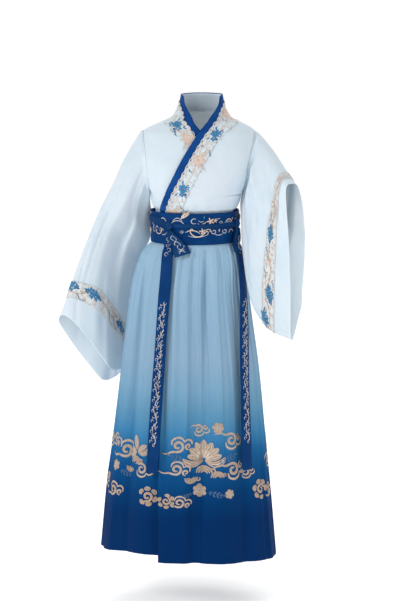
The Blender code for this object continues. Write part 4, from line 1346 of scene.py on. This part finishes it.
# ---------------------------------------------------------- embroidered strips by the neckband
BLUE_FLOWER = {
    "blue": (ringed(PETAL, 6, -4, 12.5, 10.5, 70) + ringed(PETAL, 5, 8.5, 17.5, 7.5, 20)
             + ringed(PETAL, 4, -9, 21, 5.5, 50) + turned(LEAF, 9, 8, -30, 10)
             + turned(LEAF, -12, 9, 200, 10)),
    "dark": (ringed(STAMEN, 6, -4, 12.5, 9) + ringed(STAMEN, 5, 8.5, 17.5, 7)
             + turned(LEAF, 4, 22, 40, 7) + turned(LEAF, -12, 18, 150, 6)),
    "slate": turned(HOOK, -8, 24, 15, 9) + turned(HOOK, 6, 27.5, -10, 9, -1),
    "cream": (turned(sprig(4, 22, 6.5, 40, 0.6), 14, 12, -8)
              + turned(sprig(3, 18, 6, 44, 0.6), -14, 15, 176)),
}
PEACH_BLOSSOM = {
    "pink": (ringed(PETAL, 5, 1, 15, 15, 108) + turned(LEAF, 13, 20, 20, 10)
             + turned(LEAF, -13, 9, 190, 9)),
    # the last sprig spills past the strip's edge
    "peach": (ringed(PETAL, 5, 0, 15, 10, 72) + ringed(PETAL, 4, -13, 17, 7.5, 10)
              + turned(sprig(3, 22, 7, 38, 0.7), 12, 14, 4)
              + turned(sprig(3, 20, 7, 38, 0.7), -12, 18, 172)
              + turned(sprig(3, 13, 5, 36, 0.5), 9, 24, 62)),
    "cream": ringed(STAMEN, 7, 0, 15.5, 9),
    "slate": turned(WAVE_CURL, -24, 29, 12, 10) + turned(HOOK, 4, 27, -30, 8),
    "dark": (turned(LEAF, 28, 6, 10, 6.5) + turned(LEAF, 31, 9.5, 45, 5)
             + turned(LEAF, -29, 4, 160, 6)),
}
FLOWER_PITCH = 145
NECK_STRIPS = {
    # where the embroidery starts and stops, the first blue flower, how far on the blossom is
    1: (6, 418, 189, 67),
    -1: (6, 236, 156, 41),
}


def cord(low, high, count, start, bulge, width, roundness=0.7):
    """A scalloped cord's next arch along a strip."""
    wave = np.sin(math.pi * np.linspace(0, 1, count)) ** roundness
    return [(np.column_stack([np.linspace(low, high, count), start + bulge * wave]), width, 0.15)]


def twig(number, x, y, size, leaf_every, flip_every):
    """One of a loose filling's hooks and leaves, turned every way."""
    return turned(HOOK if number % leaf_every else LEAF, x, y, 180 * math.sin(2.4 * number), size,
                  -1 if number % flip_every else 1)


def neck_motifs(side, length):
    """Flowers, curls and corded scallops of a neck strip; gives strokes by floss."""
    start, stop, first, blossom_on = NECK_STRIPS[side]
    pitch = length / SCALLOPS[side]
    found = {"beige": [], "cream": [], "peach": [], "pink": [], "blue": [], "dark": [], "slate": []}
    for step in range(SCALLOPS[side]):
        low, high = pitch * step, pitch * (step + 1)
        if start <= low and high <= stop:
            found["cream"] += cord(low, high, 9, 1, -4.4, 1.9) + cord(low, high, 9, 4.2, -4, 1.2)
            if step % 2:
                found["cream"] += turned(LEAF, 0.5 * (low + high), 1.6, 62, 6)
                found["cream"] += turned(LEAF, 0.5 * (low + high), 1.6, 112, 5, -1)
    for cycle in range(-2, 3):
        at = first + FLOWER_PITCH * cycle
        if start + 14 < at < stop - 16:
            gather(found, BLUE_FLOWER, at)
        if start + 16 < at + blossom_on < stop - 14:
            gather(found, PEACH_BLOSSOM, at + blossom_on)
    # a loose filling of twigs, thicker towards the band, and a row of them at the open edge
    for number, x in enumerate(np.arange(start + 2, stop - 4, 3.6)):
        floss = ("beige", "cream", "beige", "peach")[number % 4]
        y = 4.5 + 17 * (SPREAD_OUT * number % 1) ** 1.3
        found[floss] += twig(number, x, y, 6.5, 3, 2)
    for number, x in enumerate(np.arange(start, stop, 8)):
        found["beige" if number % 3 else "cream"] += turned(
            LEAF, x, 24 + 3.5 * math.sin(1.7 * number), 52 + 45 * math.sin(2.3 * number), 7)
    return found


def embroider_all(node, motifs, place):
    """One piece of embroidery for each floss, on the cloth that stands for a CAD node."""
    [
        embroider("%s_%s_stitches" % (node, key), strokes, place, *FLOSSES[key], slots[node])
        for key, strokes in motifs.items() if strokes]


for side, name in SIDES:
    place, length = neck_strip_place(side)
    embroider_all("collar_trim_" + name, neck_motifs(side, length), place)


# ---------------------------------------------------------------- embroidered strips on the sleeves
# A cluster of blue flowers: along, aside, size
CLUSTER = ((-15, 1, 7), (-5, -4, 9.5), (5, 3.5, 9.5), (15, -1, 7), (-4, 6, 6.5), (6, -6.5, 6.5))


def sleeve_motifs(length, flowers, curls):
    """A strip's two scalloped cords, its vine, its twigs and its blue flowers."""
    found = {"beige": [], "cream": [], "peach": [], "pink": [], "blue": [], "dark": [], "slate": [],
             "gold": []}
    count = int(length / 13)
    pitch = length / count
    for step in range(count):
        low, high = pitch * step, pitch * (step + 1)
        found["cream"] += cord(low, high, 7, 3.8, -3.4, 1.1)
        found["cream"] += cord(low, high, 7, CUFF_STRIP - 3.8, 3.4, 1.1)
        if step % 2:
            found["cream"] += turned(LEAF, 0.5 * (low + high), 5.5, 70, 6)
            found["peach"] += turned(LEAF, 0.5 * (low + high), CUFF_STRIP - 5.5, -70, 6)
    knots = np.linspace(0, length, int(length / 20))
    vine = np.column_stack([knots, CUFF_STRIP / 2 + 7.5 * np.sin(knots / 17)])
    found["gold"] += [(vine[start:start + 4], 1.1, 0.1) for start in range(0, len(vine) - 3, 3)]
    for number, x in enumerate(np.arange(2, length - 4, 3)):
        floss = ("beige", "gold", "cream", "beige", "peach")[number % 5]
        found[floss] += twig(number, x, 5 + 30 * (SPREAD_OUT * number % 1), 8, 2, 3)
    for number, (x, y) in enumerate(vine[1:-1]):
        if min(abs(x - flower[0]) for flower in flowers) < 22:
            continue
        way = -1 if number % 2 else 1
        found["gold"] += (turned(LEAF, x, y, 40 * way, 10, way)
                          + turned(LEAF, x, y, 140 * way, 9, way))
        if number % 3 == 0:
            found["pink"] += ringed(PETAL, 5, x + 3, CUFF_STRIP - y, 6.5, 30 * number)
            found["peach"] += ringed(STAMEN, 5, x + 3, CUFF_STRIP - y, 6)
        else:
            found["peach"] += turned(HOOK, x - 4, CUFF_STRIP - y, 60 * number, 8, way)
    for x, y, angle in flowers:
        c, s = cosine_of(angle), sine_of(angle)
        for step, (along, aside, size) in enumerate(CLUSTER):
            at = (x + along * c - aside * s, y + along * s + aside * c)
            found["blue"] += ringed(PETAL, 5, *at, size, 40 * step)
            found["dark"] += ringed(STAMEN, 5, *at, size)
        found["dark"] += turned(LEAF, x + 17 * c, y + 17 * s, angle, 8)
        found["dark"] += turned(LEAF, x - 17 * c, y - 17 * s, angle + 180, 7)
    for x, y, angle in curls:
        found["slate"] += turned(WAVE_CURL, x, y, angle, 11)
        found["slate"] += turned(LEAF, x + 10, y + 2, angle + 40, 5)
    return found


SLEEVE_FLOWERS = {
    "right": ((10, 11, 10), (68, 18, 12), (194, 22, -6), (300, 20, 8),
              (385, 19, -8), (465, 21, 8)),
    "left": ((150, 17, -6), (289, 26, 10), (352, 12, 8),
             (455, 21, -8), (560, 18, 8), (665, 22, -6)),
}
SLEEVE_CURLS = {
    "right": ((34, 33, 20), (132, 33, 30), (158, 31, 40), (240, 8, -15),
              (345, 33, 10), (430, 8, -10)),
    "left": ((110, 8, 8), (195, 7, -10), (244, 6, 12), (262, 34, -12),
             (400, 33, 10), (505, 8, 8), (610, 32, -8)),
}
for name in SLEEVE_FLOWERS:
    place, length = cuff_strip_place(name)
    motifs = sleeve_motifs(length, SLEEVE_FLOWERS[name], SLEEVE_CURLS[name])
    embroider_all("sleeve_trim_" + name, motifs, place)


# ------------------------------------------------------ embroidered sash, loops and long ends
def c_scroll(length, width):
    """A long C scroll that swells in its middle, with a curl at each end."""
    return [(((-0.5, 0.10), (-0.42, 0.24), (-0.54, 0.30), (-0.62, 0.14), (-0.48, -0.12),
              (-0.15, -0.28), (0.2, -0.2), (0.45, 0.1), (0.6, 0.28), (0.72, 0.12), (0.62, 0)),
             width / length, 0.6)]


def backed(found, wider=1.3):
    """Adds a dark stroke, that many mm wider, under every light one: a rim of painted shade round
    the raised stitches.
    """
    found["night"] = [(knots, width + wider, taper)
                      for strokes in found.values() for knots, width, taper in strokes]
    return found


def arc(x0, y0, rise, x1, y1, width):
    """An arch over two points."""
    middle = (0.5 * (x0 + x1), 0.5 * (y0 + y1) + rise)
    return [(((x0, y0), (mix(x0, x1, 0.22), mix(y0, y1, 0.22) + 0.72 * rise), middle,
              (mix(x0, x1, 0.78), mix(y0, y1, 0.78) + 0.72 * rise), (x1, y1)), width, 0.35)]


def feather(x, y, angle, size):
    """A curved quill with four barbs."""
    found = [(((0, 0), (0.5, 0.12), (1, 0.34)), 0.13, 0.6)]
    for step in range(4):
        found += turned([(((0, 0), (0.2, 0.10), (0.42, 0.08)), 0.11, 0.6)], 0.2 + 0.2 * step,
                        0.05 + 0.07 * step, 38, 1)
    return turned(found, x, y, angle, size)


CURL, THIN_CURL = ([(spiral(1, 1.1, 150, 0.35), width, 0.35)] for width in (0.30, 0.26))
STAR = ringed([(((0, 0), (0.5, 0.05), (1, 0)), 0.36, 0.8)], 5, 0, 0)


def sash_motifs():
    """Scrolls in two rows above and below the tie; the front's own, then repeats round the back."""
    found = {
        "ivory": (
            [(((6, -240.5), (12, -243.5), (19, -241.5), (25, -237)), 2.4, 0.5)]
            + arc(70, -243, 9.5, 92, -242, 2.4)
            + turned(c_scroll(20, 2.1), -84, -263, 12, 18)
            + turned([(spiral(1, 1.2, 200, 0.3), 0.24, 0.4)], -80, -257, 0, 5.4)
            + turned(c_scroll(30, 2.5), 8, -264, -8, 29)
            + [(((-20, -262), (-8, -256.5), (4, -259), (12, -264.5)), 2.2, 0.5)]
            + turned(LEAF, 55, -262, 90, 8) + arc(80, -266, 7, 96, -264, 1.9)),
        "silver": (
            # upper row
            arc(-82, -240, 9, -64, -239, 2.2) + turned(CURL, -90, -236, 20, 4.5)
            + arc(-52, -243, 8, -22, -242, 2) + arc(-48, -237.5, 8, -26, -236, 1.7)
            + turned([(spiral(1, 0.75, 50, 0.75), 0.30, 0.4)], -1, -236, 0, 6.8)
            + [(((8, -234), (13, -237), (20, -235.5)), 1.5, 0.5)]
            + [(((44, -234), (50, -231), (57, -230.5)), 1.3, 0.5)]
            + turned(CURL, 59, -239, 0, 4.6)
            + arc(75, -243, 4.5, 87, -243, 1.6) + turned(LEAF, 92, -236, 60, 6)
            # lower row
            + arc(-98, -259, 7, -88, -257, 1.6) + arc(-76, -268, -4, -62, -262, 1.6)
            + turned(CURL, -27, -260, 0, 4.4)
            + [(((-14, -269), (0, -272.5), (16, -271), (30, -266)), 1.5, 0.4)]
            + turned(THIN_CURL, 42, -260.5, 0, 6.6) + turned(THIN_CURL, 69, -260.5, 0, 6.8)
            + [(((44, -267), (54, -269), (64, -266.5)), 1.7, 0.4)]),
        "peach": (
            feather(-32, -231, 12, 24) + feather(-26, -228, 44, 13)
            + turned(STAR, 34, -236, 20, 9) + turned(STAR, 45, -235, 60, 5.5)
            + turned(STAR, 17, -259, 10, 8) + turned(HOOK, 24, -258, 15, 12)),
        "blue": turned(LEAF, 20, -230.5, 80, 7.5) + turned(LEAF, 64, -243, 20, 6),
    }
    for x in (-108, 110):
        found["silver"].append((((x, -232), (x + 4, -238), (x - 3, -245), (x + 3, -252),
                                 (x - 2, -259), (x + 2, -266)), 1.9, 0.5))
        found["ivory"] += turned(HOOK, x - 4, -240, 100, 8) + turned(HOOK, x + 5, -258, -80, 8)
    for step, x in enumerate((140, 178, 216, 254, -140, -178, -216, -254)):
        way = 1 if step % 2 else -1
        found["ivory"] += turned(c_scroll(22, 2.8), x, -266, 5 * way, 21, way)
        found["silver"] += turned(CURL, x - 16, -263, 0, 4.6, way)
        found["silver"] += arc(x - 10, -226, 4.5, x + 6, -226, 1.5)
        found["peach"] += turned(STAR, x + 13, -263, 30 * step, 6.5)
        found["peach"] += turned(STAR, x + 14, -223.5, 20 * step, 3.6)
    found["peach"] += turned(STAR, 289, -264, 90, 8)
    # every light stroke gets a rim of painted shade
    return backed(found)


embroider_all("waistband", sash_motifs(), sash_place)


# ---------------------------------------------------------------- embroidered short ends
def loop_motifs(shift, half, start, stop):
    """A chain of crossing curves with a star in its middle."""
    silver, slate = [], []
    down = np.arange(start, stop, 2)
    full = half * np.sin(math.pi * np.clip((down - start) / 9, 0, 0.5))
    for way in (-1, 1):
        line = np.column_stack([shift + way * full * np.sin((down - start) / 4.2), down])
        silver += [(line[row:row + 7], 1.3, 0.2) for row in range(0, len(line) - 2, 6)]
        silver += turned(HOOK, shift + way * half, stop - 5, 90 + 40 * way, 5.5, way)
    slate += turned(STAR, shift - 0.2 * half, mix(start, stop, 0.5), 15, 3.6)
    return {"silver": silver, "slate": slate}


LOOP_CHAINS = {"right": (0.5, 6, 10, 54), "left": (6, 4.6, 16, 55)}
for name, chain in LOOP_CHAINS.items():
    embroider_all("loop_" + name, loop_motifs(*chain), loop_strip_place(name))


def tail_motifs(shift):
    """A scrolling chain: a plain stretch, then curls to near the end."""
    silver, ivory = [], []
    for step in range(5):
        y = 20 + 9 * step
        way = 1 if step % 2 else -1
        silver += turned([(spiral(1, 0.9, 90, 0.5), 0.24, 0.4)], 2.5 * way, y, 90, 5, way)
    down = np.arange(0, 335, 5)
    wander = shift + 4.5 * np.sin(down / 8.2) + 1.5 * np.sin(down / 3.1)
    line = np.column_stack([wander, 162 + down])
    silver += [(line[start:start + 7], 1.3, 0.25) for start in range(0, len(line) - 6, 6)]
    for step in range(28):
        y = 164 + 11.8 * step
        way = 1 if step % 2 else -1
        silver += turned([(spiral(1, 0.8, 60, 0.5), 0.26, 0.4)], shift - 5 * way, y, 40 * way, 4.2,
                         way)
        ivory += turned(HOOK, shift + 2 * way, y + 5, 60 + 50 * way, 8, way)
        ivory += turned(LEAF, shift + 6 * way, y + 2, 90 + 30 * way, 6, way)
    return {"silver": silver, "ivory": ivory}


for name, shift in (("right", -0.5), ("left", 2)):
    embroider_all("tail_" + name, tail_motifs(shift), tail_strip_place(name))


# ---------------------------------------------------------------- embroidered skirt
# Clouds, waves, lotus and blossom: a free arrangement of ordinary motifs
def strap(knots, width, cord=0.085, taper=0.5, inner=1):
    """A filled band with a cord along both edges and lighter lines between them."""
    profile = 0.10 + 0.90 * np.sin(math.pi * np.linspace(0, 1, 40)) ** taper
    edges = [(shifted(knots, side * 0.5 * (width - cord) * profile), cord, 0.3) for side in (-1, 1)]
    places = (np.arange(inner) + 1) / (inner + 1) - 0.5
    lines = [(shifted(knots, place * width * profile), 0.6 * cord, 0.3) for place in places]
    return {"sand": [(knots, width, taper)], "gold": edges, "cream": lines}


def cloud(tail=2.6):
    """A cloud: a large curl with a streaming tail, a small curl and two lobes above them."""
    found = {}
    stream = ((-0.5 - tail, -0.62), (-0.5 - 0.62 * tail, -1.02), (-0.5 - 0.25 * tail, -0.78),
              (-0.45, -1))
    gather(found, strap(np.vstack([stream, spiral(1, 1.1, -78, 0.3)]), 0.46, taper=0.4))
    gather(found, strap(spiral(0.60, 1.1, -100, 0.3) * (-1, 1) + (1.70, -0.44), 0.34, taper=0.4))
    gather(found, strap(((-0.98, 0.35), (-0.75, 1.15), (0.15, 1.50), (0.98, 1.15), (1.22, 0.45)),
                        0.36))
    gather(found, strap(((1.15, 0.50), (1.75, 0.80), (2.40, 0.40), (2.42, -0.35)), 0.32))
    return found


def lobed_curl():
    """A thick curl whose outer side has five lobes."""
    found = {}
    for angle in (-150, -98, -42, 16, 72, 126):
        middle = np.array((cosine_of(angle), sine_of(angle)))
        gather(found, strap(((-0.32, -0.04), (0, 0.14), (0.32, -0.04)), 0.46, 0.09, 0.35, 0),
               *(0.80 * middle), angle - 90)
    inner = np.vstack([((-0.85, -0.52),), spiral(0.62, 1.25, -130, 0.25)])
    gather(found, strap(inner, 0.26, 0.09, 0.35, 0))
    return found


def lotus(petals=7):
    """A lotus from the side: a fan of pointed petals over two that hang down."""
    found = {}
    spread = np.linspace(-74, 74, petals)
    for angle in sorted(spread, key=lambda here: -abs(here)):
        length = 1 - 0.16 * abs(angle) / 74
        petal = strap(((0.10, 0), (0.55, 0), (1, 0)), 0.42, 0.06, 0.75, 2)
        gather(found, petal, 0, 0, 90 + angle, length)
    for way in (-1, 1):
        droop = strap(((0.05, 0), (0.45, -0.22), (0.80, -0.10), (1.02, 0.12)), 0.30, 0.06, 0.7, 1)
        gather(found, droop, 0, -0.02, 0 if way > 0 else 180, 1, way)
    gather(found, {"slate": ringed(STAMEN, 7, 0, 0.12, 0.45)})
    return found


def blossom(petals=6):
    """An open flower: round petals with corded edges round a heart."""
    outer = strap(((0.22, 0), (0.62, 0), (1.02, 0)), 0.72, 0.09, 0.45, 1)
    found = {}
    for step in range(petals):
        gather(found, outer, 0, 0, 90 + 360 * step / petals)
    return gather(found, {"cream": ringed(STAMEN, 8, 0, 0, 0.9)})


def wave(arcs=3):
    """A wave: arcs inside one another with a curl at the crest."""
    found = {}
    for step in range(arcs):
        size = 1 - 0.30 * step
        line = np.array(((-1, 0), (-0.72, 0.66), (0, 0.98), (0.72, 0.66), (1, 0))) * size
        gather(found, strap(line, 0.24, 0.08, 0.3, 0))
    return gather(found, strap(spiral(0.36, 1, -60, 0.3) + (1.05, 0.42), 0.20, 0.08, 0.4, 0))


VINE = {"slate": sprig(4, 1, 0.36, 48, 0.045)}
CLOUD, SHORT_CLOUD, LOBED_CURL = cloud(), cloud(1.2), lobed_curl()
LOTUS, BUD, BLOSSOM, WAVE = lotus(), lotus(3), blossom(), wave()
FRONT_DESIGN = (
    # motif, x, y, angle, size, and -1 where it is mirrored
    (LOTUS, 34, -786, 0, 46),
    (WAVE, 34, -818, 0, 17),
    (WAVE, 6, -826, 0, 14, -1),
    (WAVE, 62, -828, 0, 14),
    (CLOUD, -24, -752, 12, 13),
    (CLOUD, 98, -742, -8, 14, -1),
    (CLOUD, -26, -806, -6, 12),
    (CLOUD, 100, -812, 4, 15, -1),
    (SHORT_CLOUD, 22, -716, 0, 10, -1),
    (BLOSSOM, 66, -712, 20, 13),
    (BLOSSOM, 24, -858, 0, 15),
    (BLOSSOM, 88, -868, 10, 11),
    (VINE, 74, -790, 18, 34),
    (VINE, -6, -786, 162, 34, -1),
    (VINE, 42, -862, -16, 30),
    (VINE, 8, -864, 200, 22, -1),
    # ordinary clouds beside and below
    (LOBED_CURL, -44, -880, -70, 15, -1),
    (SHORT_CLOUD, -18, -884, -4, 10),
    (LOBED_CURL, 176, -868, 150, 21),
    (SHORT_CLOUD, 214, -878, -4, 12),
    (SHORT_CLOUD, 138, -824, 8, 9, -1),
    (CLOUD, 236, -806, 4, 12, -1),
)
UNDER_DESIGN = (
    (BUD, -126, -772, 14, 38),
    (CLOUD, -172, -776, 0, 15),
    (WAVE, -128, -800, 0, 15),
    (WAVE, -152, -812, 0, 13, -1),
    (SHORT_CLOUD, -108, -812, -6, 12, -1),
    (BLOSSOM, -196, -814, 0, 13),
    (VINE, -180, -826, -12, 30),
    (SHORT_CLOUD, -214, -758, 0, 11),
    # an ordinary cloud below
    (LOBED_CURL, -88, -874, 20, 20),
    (CLOUD, -196, -872, 2, 12),
)
REAR_DESIGN = tuple(
    (motif, x + 205 * step, *rest)
    for step in range(3)
    for motif, x, *rest in (
        (LOTUS, 336, -790, 0, 40),
        (WAVE, 336, -818, 0, 15),
        (WAVE, 312, -826, 0, 13, -1),
        (WAVE, 360, -826, 0, 13),
        (CLOUD, 394, -762, -6, 13, -1),
        (CLOUD, 284, -772, 6, 12),
        (BLOSSOM, 336, -866, 0, 14),
        (VINE, 350, -866, 6, 28),
        (LOBED_CURL, 412, -862, 150, 17),
    )
)
for node, design in (("skirt_front", FRONT_DESIGN), ("skirt_under", UNDER_DESIGN),
                     ("skirt_back", REAR_DESIGN)):
    motifs = {}
    for row in design:
        gather(motifs, *row)
    embroider_all(node, motifs, skirt_place(node == "skirt_front"))




# ---------------------------------------------------------------- studio
FLOOR_Z = -1.150


def make_floor():
    """A pale floor that runs on past the picture's edges."""
    net = bmesh.new()
    bmesh.ops.create_grid(net, x_segments=8, y_segments=8, size=60)
    for vertex in net.verts:
        vertex.co.z = FLOOR_Z
    # matt white paper: almost no gloss, so only the soft shadow shows on it
    paper, tree = new_cloth("matt white paper", 0.95, 0)
    for key, value in (("Base Color", to_linear("#fbfbfb")), ("Emission Color", (1, 1, 1, 1)),
                       ("Emission Strength", 0.385)):
        tree.nodes["Principled BSDF"].inputs[key].default_value = value
    new_piece("studio_floor", net, paper)


def add_softbox(name, place, aim, size, power):
    """A square soft light."""
    light = bpy.data.lights.new(name, "AREA")
    light.shape = "SQUARE"
    light.size = size
    light.energy = power
    lamp = bpy.data.objects.new(name, light)
    lamp.location = place
    lamp.rotation_euler = (Vector(aim) - Vector(place)).to_track_quat("-Z", "Y").to_euler()
    bpy.context.scene.collection.objects.link(lamp)


make_floor()
add_softbox("key", (-3, -3.1, 2.2), (0, 0, -0.45), 1.5, 78)
add_softbox("fill", (3.2, -2.6, 0.9), (0, 0, -0.5), 2.6, 18)
add_softbox("back", (0.6, 3, 2.4), (0, 0.2, -0.4), 2, 45)
world = bpy.data.worlds.new("studio")
bpy.context.scene.world = world
world.use_nodes = True
background = world.node_tree.nodes["Background"].inputs
background["Color"].default_value = (1, 1, 1, 1)
background["Strength"].default_value = 0.645
bpy.context.scene.view_settings.view_transform = "Standard"

CAMERA_AWAY = 6
PICTURE_HEIGHT = 1.41235     # what the picture's height shows at the target, in metres
camera_data = bpy.data.cameras.new("camera")
camera_data.sensor_fit = "VERTICAL"
camera_data.sensor_height = 36
camera_data.lens = 36 * CAMERA_AWAY / PICTURE_HEIGHT
camera_data.clip_end = 60
camera = bpy.data.objects.new("camera", camera_data)
target = Vector((0, 0, -0.434))
elevation = math.radians(9)
camera.location = target + Vector((0, -math.cos(elevation), math.sin(elevation))) * CAMERA_AWAY
camera.rotation_euler = (target - camera.location).to_track_quat("-Z", "Y").to_euler()
bpy.context.scene.collection.objects.link(camera)
bpy.context.scene.camera = camera
